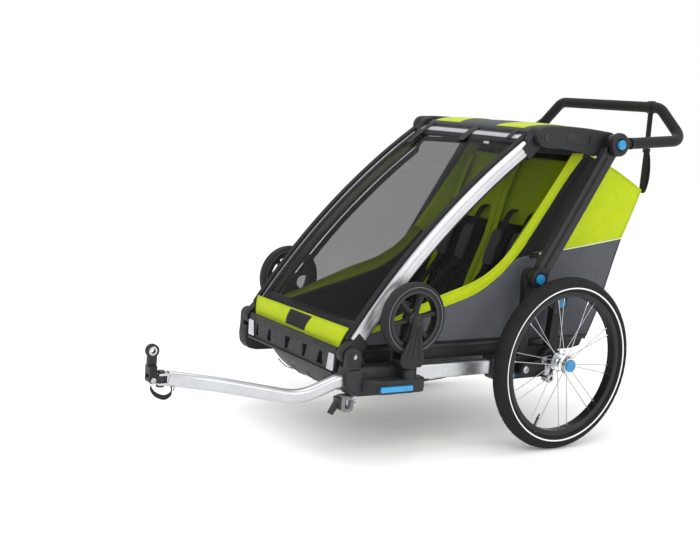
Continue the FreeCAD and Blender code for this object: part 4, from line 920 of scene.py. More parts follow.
def caster(side, sign):
    x = sign * CASTER_X
    body = f"caster_fork_{side}"
    y0 = CASTER[0]
    parts = [prism("side", rounded([(y0 - 0.036, 0.2660), (y0 + 0.024, 0.2660),
                                    (y0 + 0.031, 0.2860), (y0 - 0.046, 0.2860)], 0.006),
                   x - 0.0245, x + 0.0245, 0.005, 3)]
    for leg in (1, -1):
        low, high = sorted((x + leg * 0.0192, x + leg * 0.0252))
        outline = [(y0 - 0.045, 0.276), (y0 + 0.031, 0.276), (y0 + 0.029, 0.296),
                   (y0 + 0.0185, 0.345),
                   *disc_outline(CASTER, 0.0175, 16, -0.25, math.pi + 0.5), (y0 - 0.0215, 0.345),
                   (y0 - 0.044, 0.300)]
        parts.append(prism("side", outline, low, high, 0.0022))
        for shift in (-0.011, 0.0, 0.011):
            rib = [(y0 - 0.007 + shift * 1.9 - 0.0018, 0.283),
                   (y0 - 0.007 + shift * 1.9 + 0.0018, 0.283), (y0 + shift * 0.7 + 0.0012, 0.372),
                   (y0 + shift * 0.7 - 0.0012, 0.372)]
            face = x + leg * 0.0252
            parts.append(slab(rib, face - leg * 0.001, face + leg * 0.0014, 0.0005, 1))
        parts.append(turned(facing(leg, [(0.0190, 0.0150), (0.0262, 0.0150), (0.0272, 0.0138),
                                         (0.0272, 0.0)]), at(x, *CASTER), "x", 40))
    piece(f"caster_fork_shape_{side}", joined(parts, "fork"), nylon, body, [body],
          angle=40)
    heads = [bolt_head(at(x + leg * 0.0270, *CASTER), 0.0065, 0.0028, "x", leg) for leg in (1, -1)]
    piece(f"caster_axle_bolts_{side}", joined(heads, "bolts"), black_metal, body)

    body = f"caster_wheel_{side}"
    c = at(x, *CASTER)
    tyre = [(-0.0135, 0.0765), (-0.0155, 0.0800), (-0.0160, 0.0880), (-0.0148, 0.0925),
            (-0.0120, 0.0955), (-0.0070, 0.0968),
            (0.0, 0.0970), (0.0070, 0.0968), (0.0120, 0.0955), (0.0148, 0.0925), (0.0160, 0.0880),
            (0.0155, 0.0800), (0.0135, 0.0765), (-0.0135, 0.0765)]
    piece(f"caster_tyre_{side}", turned(tyre, c, "x", 120, lambda i, a,
                                        r: -0.0006 if r > 0.0955 and abs(a) > 0.004 and i % 4 == 0
                                        else 0.0),
          caster_rubber, body, [body], angle=50)
    edges = [turned([(f * (0.0155 + 0.0006 * math.cos(k)), 0.0855 + 0.0009 * math.sin(k))
                     for k in [2 * math.pi * j / 8 for j in range(9)]], c, "x", 96)
             for f in (1, -1)]
    piece(f"caster_tyre_line_{side}", joined(edges, "line"), clamp_grey, body)
    rim = [(-0.0130, 0.0772), (-0.0142, 0.0760), (-0.0138, 0.0690), (-0.0060, 0.0665),
           (0.0060, 0.0665), (0.0138, 0.0690), (0.0142, 0.0760), (0.0130, 0.0772),
           (-0.0130, 0.0772)]
    parts = [turned(rim, c, "x", 96),
             turned([(-0.0165, 0.0), (-0.0165, 0.0130), (-0.0150, 0.0150), (-0.0110, 0.0185),
                     (0.0110, 0.0185), (0.0150, 0.0150), (0.0165, 0.0130), (0.0165, 0.0)], c, "x",
                    48)]
    for i in range(6):
        angle = math.pi / 3 * i + math.radians(12)
        u, v = Vector((math.cos(angle), math.sin(angle))), Vector((-math.sin(angle),
                                                                   math.cos(angle)))
        outline = [u * 0.012 - v * 0.0078, u * 0.040 - v * 0.0046, u * 0.0690 - v * 0.0072,
                   u * 0.0690 + v * 0.0072, u * 0.040 + v * 0.0046, u * 0.012 + v * 0.0078]
        parts.append(prism("side", [(CASTER[0] + p.x, CASTER[1] + p.y) for p in outline],
                           x - 0.0085, x + 0.0085, 0.0022))
        ridge = [u * 0.018 - v * 0.0012, u * 0.066 - v * 0.0012, u * 0.066 + v * 0.0012,
                 u * 0.018 + v * 0.0012]
        parts.append(prism("side", [(CASTER[0] + p.x, CASTER[1] + p.y) for p in ridge], x - 0.0108,
                           x + 0.0108, 0.0008, 1))
    piece(f"caster_rim_{side}", joined(parts, "rim"), nylon_soft, body, angle=40)
    collar = turned([(0.2590, 0.0086), (0.2590, 0.0150), (0.2605, 0.0165), (0.2640, 0.0165),
                     (0.2655, 0.0150), (0.2655, 0.0070)], at(x, y0, 0), "z", 40)
    piece(f"caster_collar_{side}", collar, nylon_soft, f"caster_post_{side}")
    marks = [slab(rounded([(y - 0.0016, 0.2075), (y + 0.0016, 0.2075), (y + 0.0016, 0.2165),
                           (y - 0.0016, 0.2165)], 0.0008), sign * 0.3500, sign * 0.3512, 0.0004, 1)
             for y in (-0.544, -0.538, -0.532)]
    piece(f"latch_ridges_{side}", joined(marks, "ridges"), blue, f"caster_latch_{side}")


for side, sign in SIDES:
    front_casting(side, sign)
    caster(side, sign)


# ---------------------------------------------------------------- floor tub, bumper and strip

def tub():
    floor = [(-0.664, 0.240), (-0.661, 0.214), (-0.652, 0.190), (-0.630, 0.168), (-0.595, 0.156),
             (-0.540, 0.153), (-0.400, 0.156),
             (-0.260, 0.162), (-0.190, 0.170), (-0.130, 0.205), (-0.090, 0.244), (-0.040, 0.251),
             (0.060, 0.252), (0.150, 0.254),
             (0.190, 0.263), (0.208, 0.277), (0.2118, 0.2875)]
    line = spline([(0, y, z) for y, z in floor], 64)
    half = CABIN - 0.0006
    top = 0.2878
    rows = []
    for p in line:
        row = []
        for i in range(41):
            s = -1 + 2 * i / 40
            # the floor turns up into the sides over the last quarter of the width
            u = math.copysign(abs(s) ** 0.8, s)
            rise = abs(u) ** 4.2
            narrow = 1 - 0.05 * (1 - rise) * (1 if p.z < 0.24 else 0.3)
            row.append(at(half * u * narrow, p.y, p.z + (top - p.z) * rise))
        rows.append(row)
    shell = piece("floor_tub_shell", grid(rows), belly_grey, "chassis",
                  ["floor_tub"], angle=60)
    thick(shell, 0.003, 1.0)
    for side, sign in SIDES:
        wall = [at(sign * (half + 0.0016), y, z) for y,
                z in ((-0.655, 0.2915), (-0.40, 0.2915), (-0.1, 0.2915), (0.206, 0.2915))]
        piece(f"tub_rim_{side}", swept(spline(wall, 40),
                                       [(-0.0035, -0.0055), (0.0020, -0.0055), (0.0032, -0.0035),
                                        (0.0032, 0.0035), (0.0020, 0.0055), (-0.0035, 0.0055)]),
              nylon_soft, "chassis")
        side_wall = [(-0.600, 0.2560), (-0.600, 0.2870), (0.196, 0.2870), (0.188, 0.2660),
                     (0.150, 0.2585), (-0.060, 0.2560)]
        piece(f"tub_side_{side}", slab(rounded(side_wall, 0.006), sign * (half - 0.003),
                                       sign * (half + 0.0012), 0.001),
              nylon, "chassis")
    ribs = []
    for x in (-0.12, -0.04, 0.04, 0.12):
        ridge = spline([at(x, y, z - 0.0008) for y, z in floor[2:9]], 30)
        ribs.append(swept(ridge, [(-0.003, -0.001), (0.003, -0.001), (0.0018, 0.0012),
                                  (-0.0018, 0.0012)]))
    piece("tub_ribs", joined(ribs, "ribs"), belly_grey, "chassis")
    edge = spline([at(x, -0.6645 - 0.001, 0.2395) for x in (-0.22, -0.1, 0.1, 0.22)], 20)
    piece("belly_edge", tube(edge, 0.0022, 8), dark_grey, "chassis")


def carve(made, cutter_mesh):
    """Cuts a shape out of a piece and leaves plain mesh."""
    cutter = bpy.data.objects.new("cutter", cutter_mesh)
    bpy.context.scene.collection.objects.link(cutter)
    cut = made.modifiers.new("cut", "BOOLEAN")
    cut.object = cutter
    cut.solver = "EXACT"
    bpy.context.view_layer.update()
    ready = made.evaluated_get(bpy.context.evaluated_depsgraph_get())
    mesh = bpy.data.meshes.new_from_object(ready)
    made.modifiers.remove(cut)
    made.data = mesh
    bpy.data.objects.remove(cutter)
    mesh.shade_smooth()
    mesh.set_sharp_from_angle(angle=math.radians(35))


def front_panel():
    y0 = -0.6905
    board_outline = rounded([(-0.236, 0.2335), (-0.20, 0.2300), (0.20, 0.2300), (0.236, 0.2335),
                             (0.240, 0.2985), (-0.240, 0.2985)], 0.008)
    board = piece("bumper_board", prism("front", board_outline, y0, y0 + 0.0115, 0.0025), dark_grey,
                  "chassis", ["front_bumper"])
    holes = []
    for x, w, flip in ((-0.118, 0.020, 1), (-0.020, 0.026, -1), (0.160, 0.028, 1),
                       (0.075, 0.022, -1), (-0.190, 0.014, 1)):
        low, high = (w, w * 0.45) if flip > 0 else (w * 0.45, w)
        outline = [(x - low * 0.6, 0.2440), (x + low * 0.6, 0.2440), (x + high * 0.8, 0.2790),
                   (x - high * 0.3, 0.2790)]
        holes.append(prism("front", rounded(outline, 0.003), y0 - 0.01, y0 + 0.03, 0))
    carve(board, joined(holes, "holes"))
    back = prism("front", rounded([(-0.228, 0.238), (0.228, 0.238), (0.232, 0.294),
                                   (-0.232, 0.294)], 0.006), y0 + 0.0105, y0 + 0.0135, 0.0008)
    lip = swept([at(x, y0 - 0.0008, 0.2335 + 0.001 * abs(x))
                 for x in [-0.232 + 0.464 * i / 30 for i in range(31)]],
                [(-0.0045, -0.0025), (0.0045, -0.0025), (0.0045, 0.0015), (0.002, 0.0028),
                 (-0.0045, 0.0028)], (0, 1, 0))
    gap = prism("front", rounded([(-0.236, 0.2935), (0.236, 0.2935), (0.236, 0.3035),
                                  (-0.236, 0.3035)], 0.002), y0 + 0.0005, y0 + 0.010, 0.001)
    piece("bumper_back", joined([back, gap], "back"), nylon, "chassis")
    piece("bumper_lip", lip, nylon_soft, "chassis")
    plates, rims = [], []
    for sign in (1, -1):
        outline = rounded([(sign * 0.2020, 0.2400), (sign * 0.2330, 0.2400),
                           (sign * 0.2350, 0.2860), (sign * 0.2090, 0.2860)], 0.004)
        plates.append(prism("front", outline, y0 - 0.0050, y0, 0.0012))
        rims.append(tube([at(a, y0 - 0.0010, b) for a, b in [*outline, outline[0]]], 0.0014, 6))
    piece("reflector_faces", joined(plates, "faces"), prism_face, "chassis",
          ["front_reflectors"])
    piece("reflector_rims", joined(rims, "rims"), nylon_soft, "chassis")


def strip():
    """The padded lime band across the front, with a blank black label."""
    rows = []
    count = 61
    for j in range(15):
        t = j / 14
        row = []
        for i in range(count):
            u = i / (count - 1)
            low_x, high_x = -0.2300 + 0.4530 * u, -0.2440 + 0.4900 * u
            x = low_x + (high_x - low_x) * t
            z = 0.3015 + (0.0500 + 0.004 * u) * t
            y = -0.6740 + 0.010 * t * t - 0.0040 * arch(t) * min(1, 14 * u, 14 * (1 - u))
            y += 0.0007 * noise.noise(Vector((x * 26, z * 50, 3)))
            row.append(at(x, y, z))
        rows.append(row)
    made = sheet("front_strip_cloth", rows, lime, "chassis", 0.006, ["front_strip"],
                 offset=-1)
    made.modifiers.new("smooth", "SUBSURF").levels = 1
    made.modifiers["smooth"].render_levels = 1
    inset = 0.004
    hems = [stitching([p + Vector((0, -0.0008, rise)) for p in row])
            for row, rise in ((rows[0], inset), (rows[-1], -inset))]
    piece("strip_stitches", joined(hems, "stitches"), pale_piping, "chassis")
    edges = [tube(rows[0], 0.0016, 8), tube(rows[-1], 0.0016, 8),
             tube([row[0] for row in rows], 0.0016, 8), tube([row[-1] for row in rows], 0.0016, 8)]
    piece("strip_binding", joined(edges, "binding"), lime, "chassis")
    label_rows = []
    for j in range(9):
        t = j / 8
        row = []
        for i in range(17):
            u = i / 16
            x = -0.053 + 0.115 * u + 0.012 * (t - 0.5) - 0.016 * (1 - t) * (u - 0.5)
            k = 0.17 + 0.80 * t
            z = 0.3015 + 0.0515 * k
            y = -0.6740 + 0.010 * k * k - 0.0040 * arch(k) - 0.0014
            row.append(at(x, y, z))
        label_rows.append(row)
    sheet("strip_label", label_rows, black_cloth, "chassis", 0.0012)
    ring = [*label_rows[0], *[r[-1] for r in label_rows[1:]], *list(reversed(label_rows[-1]))[1:],
            *[r[0] for r in reversed(label_rows)][1:]]
    piece("strip_label_stitches", stitching([p + Vector((0, -0.0008, 0)) for p in ring], 0.004,
                                            0.0026, 0.0003), clamp_grey, "chassis")


tub()
front_panel()
strip()


# ---------------------------------------------------------------- side walls

def wrinkle(p, depth, scale=9.0, seed=0.0):
    return depth * (noise.noise(Vector((p.x * 3 + seed, p.y * scale, p.z * scale)))
                    + 0.5 * noise.noise(Vector((seed, p.y * scale * 2.3, p.z * scale * 2.3))))


UPPER_EDGE = [(-0.634, 0.3350), (-0.566, 0.3570), (-0.460, 0.3950), (-0.359, 0.4330),
              (-0.250, 0.4680), (-0.180, 0.5070),
              (-0.118, 0.5670), (-0.027, 0.6900), (0.050, 0.8000), (0.078, 0.8420)]
LOWER_EDGE = [(-0.634, 0.3235), (-0.560, 0.3440), (-0.460, 0.3720), (-0.355, 0.4000),
              (-0.245, 0.4340), (-0.176, 0.4740),
              (-0.127, 0.5150), (-0.060, 0.5900), (0.060, 0.7600), (0.128, 0.8420)]


def crumples(made):
    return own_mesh(made)


def side_wall(side, sign):
    x = sign * 0.2362
    out = Vector((sign, 0, 0))

    def line(points, count, shift=0.0):
        return spline([at(x + sign * shift, y, z) for y, z in points], count)

    count = 90
    upper, lower = line(UPPER_EDGE, count), line(LOWER_EDGE, count)
    front = [on_pillar(x, run, -0.031) for run in (0.058, 0.20, 0.40, 0.60, 0.735, 0.752)]
    front = spline([Vector((x, p.y, p.z)) for p in front], count)
    front[-1].z = 0.8500
    glass = swollen(between(front, upper, 26), lambda u, v, p: 0.0012 * arch(u) * arch(v)
                    + wrinkle(p, 0.0007, 5, sign), out)
    crumples(sheet(f"side_window_{side}", glass, window_film, "chassis", 0.0008))
    band = swollen(between(upper, lower, 13), lambda u, v,
                   p: 0.0030 * arch(u) + wrinkle(p, 0.0008, 12, sign), out)
    crumples(sheet(f"side_band_{side}", band, lime, "chassis", 0.0022,
                   [f"side_fabric_{side}"]))
    short = [LOWER_EDGE[i] for i in range(7)] + [(-0.095, 0.5340), (-0.040, 0.5450)]
    top = line(short, count)
    bottom = line([(-0.640, 0.2960), (-0.40, 0.2950), (-0.2, 0.2950), (-0.040, 0.2950)], count)
    grey = swollen(between(top, bottom, 22), lambda u, v, p: 0.0040 * arch(u) * arch(v) ** 0.5
                   + wrinkle(p, 0.0014, 8, sign), out)
    crumples(sheet(f"side_panel_{side}", grey, slate, "chassis", 0.0018))
    # the black lining inside, seen through the windows
    inner_low = line([(-0.60, 0.30), (-0.40, 0.30), (-0.2, 0.30), (-0.04, 0.30)], 50, -0.006)
    inner_high = line([(LOWER_EDGE[i][0], LOWER_EDGE[i][1] - 0.004) for i in range(7)]
                      + [(-0.05, 0.53)], 50, -0.006)
    crumples(sheet(f"side_lining_{side}", between(inner_low, inner_high, 10), lining, "chassis",
                   0.001))
    cords = [tube([p + out * 0.0012 for p in upper], 0.0020, 8),
             tube([p + out * 0.0010 for p in lower[:60]], 0.0016, 8)]
    crumples(piece(f"band_piping_{side}", joined(cords, "piping"), lime, "chassis"))
    rows = []
    for k in range(6):
        shift = 0.018 * k / 5
        rows.append([p + out * (0.0018 + 0.0008 * math.sin(math.pi * k / 5))
                     + Vector((0, RUN[1], -RUN[0])) * (shift - 0.004) for p in front])
    crumples(sheet(f"window_hem_{side}", rows, black_cloth, "chassis", 0.0014))
    top_rows = []
    head = spline([at(x, y, 0.8480 + z) for y,
                   z in ((-0.108, 0.0), (-0.02, 0.001), (0.06, 0.0), (0.134, -0.004))], 40)
    for k in range(5):
        top_rows.append([p + out * 0.0016 + Vector((0, 0, 0.004 - 0.016 * k / 4)) for p in head])
    crumples(sheet(f"window_head_{side}", top_rows, black_cloth, "chassis", 0.0014))
    ahead = spline([at(x - sign * 0.001, y, z) for y, z in LOWER_EDGE[6:]], 40)
    behind = spline([at(x - sign * 0.001, y, z) for y,
                     z in [(-0.040, 0.5150), (0.000, 0.6100), (0.060, 0.7050), (0.115, 0.7830),
                           (0.150, 0.8400)]], 40)
    crumples(sheet(f"rear_gusset_{side}", between(ahead, behind, 8), black_cloth, "chassis",
                   0.0012))
    seams = [stitching([p + out * 0.0034 + Vector((0, 0.003, -0.004)) for p in upper]),
             stitching([p + out * 0.0030 + Vector((0, RUN[1], -RUN[0])) * 0.011 for p in front])]
    crumples(piece(f"side_stitches_{side}", joined(seams, "stitches"), pad_grey, "chassis"))
    low_trim = [at(x + sign * 0.0022, y, 0.3000)
                for y in [-0.625 + 0.585 * i / 30 for i in range(31)]]
    crumples(piece(f"side_trim_{side}", ribbon(low_trim, 0.012, 0.0022, (0, 0, 1)), black_cloth,
                   "chassis"))


for side, sign in SIDES:
    side_wall(side, sign)


# ---------------------------------------------------------------- cargo bag

BOUNDARY = [(-0.040, 0.5450), (0.060, 0.5560), (0.190, 0.5740), (0.3150, 0.5930)]
BAG_TOP = [(0.1500, 0.8380), (0.2300, 0.8100), (0.3050, 0.7780), (0.3790, 0.7420)]
BAG_FRONT = [(-0.040, 0.5450), (-0.015, 0.6000), (0.050, 0.7050), (0.105, 0.7830), (0.1500, 0.8380)]
BAG_REAR = [(0.3150, 0.5930), (0.3370, 0.6420), (0.3600, 0.6950), (0.3790, 0.7420)]
LOW_REAR = [(0.2115, 0.2930), (0.2420, 0.3620), (0.2690, 0.4450), (0.2920, 0.5220),
            (0.3150, 0.5930)]
LOW_BOTTOM = [(-0.040, 0.2930), (0.060, 0.2930), (0.140, 0.2930), (0.2115, 0.2930)]
LOW_FRONT = [(-0.040, 0.2930), (-0.040, 0.40), (-0.040, 0.5450)]


def coons(bottom, top, left, right, across, up):
    """A patch inside four smooth edges; bottom and top run left to right."""
    b, t = spline(bottom, across), spline(top, across)
    l, r = spline(left, up), spline(right, up)
    rows = []
    for j in range(up):
        v = j / (up - 1)
        row = []
        for i in range(across):
            u = i / (across - 1)
            p = (b[i] * (1 - v) + t[i] * v + l[j] * (1 - u) + r[j] * u
                 - (b[0] * (1 - u) * (1 - v) + b[-1] * u * (1 - v) + t[0] * (1 - u) * v
                    + t[-1] * u * v))
            row.append(p)
        rows.append(row)
    return rows


def fold_line(p, a, b, width, depth):
    """A soft crease between two points of a side wall, given as (y, z)."""
    a, b = Vector((a[0] + AXLE, a[1])), Vector((b[0] + AXLE, b[1]))
    here, run = Vector((p.y, p.z)), b - a
    t = max(0.0, min(1.0, (here - a).dot(run) / run.length_squared))
    far = (here - (a + run * t)).length
    return depth * math.exp(-(far / width) ** 2) * math.sin(math.pi * min(1, max(0.0, t))) ** 0.7


def bag():
    wall = CABIN - 0.0022
    across, up, low_up, wide = 46, 34, 30, 49

    def lift(points, x):
        return [at(x, y, z) for y, z in points]

    bm = bmesh.new()

    def patch(rows, index, dark=0):
        verts = [[bm.verts.new(p) for p in row] for row in rows]
        for i in range(len(rows) - 1):
            for k in range(len(rows[0]) - 1):
                face = bm.faces.new((verts[i][k], verts[i][k + 1], verts[i + 1][k + 1],
                                     verts[i + 1][k]))
                face.material_index = 2 if k < dark else index

    seams = []
    for side, sign in SIDES:
        x = sign * wall
        out = Vector((sign, 0, 0))

        def side_push(u, v, p):
            edge = arch(u) ** 0.6 * arch(v) ** 0.6
            push = 0.006 * edge + wrinkle(p, 0.0022, 7, sign * 2) * edge
            push += fold_line(p, (0.372, 0.735), (0.150, 0.600), 0.010, -0.0040)
            push += fold_line(p, (0.365, 0.720), (0.240, 0.590), 0.008, 0.0032)
            push += fold_line(p, (0.330, 0.640), (0.120, 0.640), 0.012, 0.0026)
            push += fold_line(p, (0.310, 0.610), (0.060, 0.565), 0.009, -0.0026)
            return min(push, 0.0085)

        rows = coons(lift(BOUNDARY, x), lift(BAG_TOP, x), lift(BAG_FRONT, x), lift(BAG_REAR, x),
                     across, up)
        patch(swollen(rows, side_push, out), 0, 7)

        def low_push(u, v, p):
            edge = arch(u) ** 0.6 * arch(v) ** 0.6
            push = 0.005 * edge + wrinkle(p, 0.0020, 8, sign * 3) * edge
            push += fold_line(p, (0.300, 0.560), (0.150, 0.420), 0.012, -0.0026)
            push += fold_line(p, (0.230, 0.330), (0.100, 0.470), 0.014, 0.0020)
            return min(push, 0.0075)

        rows = coons(lift(LOW_BOTTOM, x), lift(BOUNDARY, x), lift(LOW_FRONT, x), lift(LOW_REAR, x),
                     across, low_up)
        patch(swollen(rows, low_push, out), 1)
        seams.append((sign, x, out))

    def rear_rows(points, count, depth, normal):
        line = spline([(0, y, z) for y, z in points], count)
        rows = []
        for j, p in enumerate(line):
            v = j / (count - 1)
            row = []
            for i in range(wide):
                u = i / (wide - 1)
                edge = (arch(u) ** 0.5) * (arch(v) ** 0.5 if 0 < v < 1 else 0.0)
                here = at(-wall + 2 * wall * u, p.y, p.z)
                sag = depth * edge + 0.004 * edge * noise.noise(Vector((here.x * 8, here.z * 10,
                                                                        5)))
                row.append(here + normal * sag)
            rows.append(row)
        return rows

    patch(rear_rows(LOW_REAR, low_up, 0.010, Vector((0, 0.95, -0.3))), 1)
    patch(rear_rows(BAG_REAR, up, 0.012, Vector((0, 0.92, -0.38))), 0)
    patch(rear_rows(BAG_TOP, across, 0.006, Vector((0, 0.35, 0.93))), 0)
    bmesh.ops.remove_doubles(bm, verts=bm.verts, dist=0.0006)
    shell = piece("cargo_bag_shell", mesh_from("cargo_bag_shell", bm), [lime, slate, black_cloth],
                  "chassis", ["cargo_bag"], angle=75)
    thick(shell, 0.0016, -1)
    crumples(shell)

    trims, low_trims, pipes, stitches_made = [], [], [], []
    for sign, x, out in seams:
        mid = [p + out * 0.0016 for p in spline(lift(BOUNDARY, x), 50)]
        pipes.append(tube(mid, 0.0019, 8))
        low_trims.append(tube([p + out * 0.0005 for p in spline(lift(LOW_REAR, x), 30)], 0.0024, 8))
        corner = [*spline(lift(BAG_REAR, x), 24), *spline(lift(BAG_TOP, x), 24)[::-1][1:]]
        trims.append(tube([p + out * 0.0005 for p in corner], 0.0026, 8))
        stitches_made.append(stitching([p + out * 0.0020 + Vector((0, -0.006, 0.001))
                                        for p in corner[1:24]]))
        stitches_made.append(stitching([p + out * 0.0020 + Vector((0, 0, 0.006)) for p in mid]))
    rear = [at(-wall + 2 * wall * i / 30, 0.3152, 0.5930) for i in range(31)]
    pipes.append(tube(rear, 0.0019, 8))
    crumples(piece("bag_piping", joined(pipes, "piping"), pale_piping, "chassis"))
    crumples(piece("bag_edges", joined(trims, "edges"), lime, "chassis"))
    crumples(piece("bag_low_edges", joined(low_trims, "edges"), slate, "chassis"))
    crumples(piece("bag_stitches", joined(stitches_made, "stitches"), pale_piping, "chassis"))
    for sign, x, out in seams:
        side = "left" if sign > 0 else "right"
        tab = [at(x + sign * 0.0030, -0.052 + 0.034 * i / 8, 0.5420 + 0.003 * i / 8)
               for i in range(9)]
        crumples(piece(f"bag_tab_{side}", ribbon(tab, 0.016, 0.0022, (0, 0.1, 1)), black_cloth,
                       "chassis"))
        tail = [at(x + sign * 0.0035, -0.020 + 0.020 * i / 6, 0.5330 - 0.004 * i / 6)
                for i in range(7)]
        crumples(piece(f"bag_pull_{side}", ribbon(tail, 0.009, 0.0018, (0, 0.2, 1)), webbing,
                       "chassis"))
    zip_line = spline([at(-0.205, 0.172, 0.8345), at(-0.1, 0.176, 0.8365), at(0.1, 0.176, 0.8365),
                       at(0.205, 0.172, 0.8345)], 60)
    crumples(piece("bag_zip", ribbon([p + Vector((0, 0, 0.0022)) for p in zip_line], 0.014, 0.0016,
                                     (0, 1, -0.3)), black_cloth, "chassis"))
    high = spline([at(-0.230, 0.156, 0.8600), at(-0.1, 0.158, 0.8620), at(0.1, 0.158, 0.8620),
                   at(0.230, 0.156, 0.8600)], 60)
    low = spline([at(-0.232, 0.152, 0.8345), at(-0.1, 0.155, 0.8360), at(0.1, 0.155, 0.8360),
                  at(0.232, 0.152, 0.8345)], 60)
    crumples(sheet("bag_head", between(high, low, 6), black_cloth, "chassis",
                   0.0014))
    teeth = stitching([p + Vector((0, 0.0005, 0.0034)) for p in zip_line], 0.003, 0.0016, 0.0016)
    crumples(piece("bag_zip_teeth", teeth, nylon_soft, "chassis"))


bag()


# ---------------------------------------------------------------- roof

ROOF_LINE = [(-0.1000, 0.8900), (-0.0960, 0.8985), (-0.0820, 0.9060), (-0.0400, 0.9130),
             (0.0300, 0.9165), (0.1000, 0.9145),
             (0.1420, 0.9040), (0.1600, 0.8890)]


def roof_height(x, v, line):
    k = v * (len(line) - 1)
    i = min(int(k), len(line) - 2)
    p = line[i].lerp(line[i + 1], k - i)
    crown = 0.0035 * (1 - (x / 0.243) ** 2) * arch(v)
    side_drop = 0.012 * max(0.0, (abs(x) - 0.222) / 0.022) ** 2
    soft = 0.0016 * noise.noise(Vector((x * 7, v * 4, 1.0))) * arch(v)
    return Vector((x, p.y + AXLE, p.z + crown - side_drop + soft))


def roof():
    line = spline([(0, y, z) for y, z in ROOF_LINE], 120)
    rows = [[roof_height(-ROOF_HALF + 2 * ROOF_HALF * i / 60, j / 40, line) for i in range(61)]
            for j in range(41)]
    sheet("roof_cloth", rows, roof_cloth, "roof_frame", 0.0016, ["roof_fabric"])
    for side, sign in SIDES:
        # a lime panel at the front corner that moves outwards towards its rear
        rows = []
        for j in range(19):
            t = j / 18
            v = 0.055 + 0.60 * t
            row = []
            for i in range(17):
                u = i / 16
                inner, outer = 0.085 + 0.055 * t, 0.205 + 0.026 * t
                p = roof_height(sign * (inner + (outer - inner) * u), v, line)
                row.append(p + Vector((0, -0.0004, 0.0016)))
            rows.append(row)
        sheet(f"roof_patch_{side}", rows, lime, "roof_frame", 0.0012)
        ring = [*rows[0], *[r[-1] for r in rows[1:]], *rows[-1][::-1][1:],
                *[r[0] for r in rows[::-1]][1:]]
        piece(f"roof_patch_stitches_{side}", stitching([p + Vector((0, 0, 0.0010)) for p in ring]),
              pale_piping, "roof_frame")
        edge = [roof_height(sign * ROOF_HALF, j / 60, line) for j in range(61)]
        piece(f"roof_edge_{side}", tube(edge, 0.0028, 8), hem_black, "roof_frame")
    front = [roof_height(-ROOF_HALF + 2 * ROOF_HALF * i / 50, 0.0, line) for i in range(51)]
    rear = [roof_height(-ROOF_HALF + 2 * ROOF_HALF * i / 50, 1.0, line) for i in range(51)]
    piece("roof_hems", joined([tube(front, 0.0032, 8), tube(rear, 0.0032, 8)], "hems"), hem_black,
          "roof_frame")
    seam = [roof_height(-0.235 + 0.47 * i / 50, 0.17, line) + Vector((0, 0, 0.0010))
            for i in range(51)]
    other = [roof_height(-0.235 + 0.47 * i / 50, 0.86, line) + Vector((0, 0, 0.0010))
             for i in range(51)]
    piece("roof_stitches", joined([stitching(seam), stitching(other)], "stitches"), clamp_grey,
          "roof_frame")


roof()


# ---------------------------------------------------------------- front cover

def cover():
    half = 0.2350
    rows = []
    for j in range(61):
        run = 0.070 + (LENGTH - 0.070 - 0.032) * j / 60
        row = []
        for i in range(41):
            x = -half + 2 * half * i / 40
            lift = 0.0105 + 0.0045 * (1 - (x / half) ** 2) + 0.0010 * noise.noise(Vector((x * 6,
                                                                                          run * 6,
                                                                                          2)))
            row.append(on_pillar(x, run, lift))
        rows.append(row)
    film = piece("front_cover_film", grid(rows), cover_film, "front_frame",
                 ["front_cover"], angle=70)
    thick(film, 0.0009)
    for side, sign in SIDES:
        rows = []
        for k in range(7):
            x = sign * (0.2448 - 0.0190 * k / 6)
            rows.append([on_pillar(x, 0.040 + (LENGTH - 0.075) * j / 60,
                                   0.0125 + 0.0022 * math.sin(math.pi * k / 6)) for j in range(61)])
        sheet(f"cover_hem_{side}", rows, black_cloth, "front_frame", 0.0016)
        line = [on_pillar(sign * 0.2285, 0.05 + (LENGTH - 0.10) * j / 60, 0.0158)
                for j in range(61)]
        piece(f"cover_stitches_{side}", stitching(line), slate, "front_frame")
    rows = [[on_pillar(-0.240 + 0.480 * i / 30, 0.046 + 0.036 * k / 6,
                       0.0115 + 0.003 * math.sin(math.pi * k / 6)) for i in range(31)]
            for k in range(7)]
    sheet("cover_foot_hem", rows, black_cloth, "front_frame", 0.0018)
    rows = [[on_pillar(-0.240 + 0.480 * i / 30, LENGTH - 0.060 + 0.055 * k / 8,
                       0.0130 + 0.0035 * math.sin(math.pi * k / 8)
                       + 0.001 * (1 - (i / 15 - 1) ** 2))
             for i in range(31)] for k in range(9)]
    sheet("cover_head", rows, black_cloth, "front_frame", 0.0018)
    rows = [[on_pillar(-0.226 + 0.452 * i / 30, LENGTH - 0.040 + 0.020 * k / 4,
                       0.0172 + 0.0012 * math.sin(math.pi * k / 4)
                       + 0.001 * (1 - (i / 15 - 1) ** 2))
             for i in range(31)] for k in range(5)]
    sheet("cover_reflective_band", rows, reflective, "front_frame", 0.0010)
    seams = [stitching([p + Vector((0, -0.0006, 0.0006)) for p in rows[0]]),
             stitching([p + Vector((0, -0.0006, 0.0006)) for p in rows[-1]])]
    piece("cover_band_stitches", joined(seams, "stitches"), clamp_grey, "front_frame")
    straps = []
    for x, wide, long in ((0.010, 0.030, 0.070), (-0.205, 0.020, 0.110), (0.190, 0.018, 0.040)):
        path = [on_pillar(x, LENGTH - 0.004 - long * k / 12,
                          0.0196 + 0.0012 * math.sin(math.pi * k / 12)) for k in range(13)]
        straps.append(ribbon(path, wide, 0.0018, (1, 0, 0)))
    piece("cover_straps", joined(straps, "straps"), webbing, "front_frame")
    pull = prism("front", rounded([(0.002, 0.812), (0.018, 0.812), (0.018, 0.826), (0.002, 0.826)],
                                  0.004), -0.161, -0.157, 0.001)
    piece("cover_strap_buckle", pull, nylon_soft, "front_frame")


cover()


# ---------------------------------------------------------------- seats

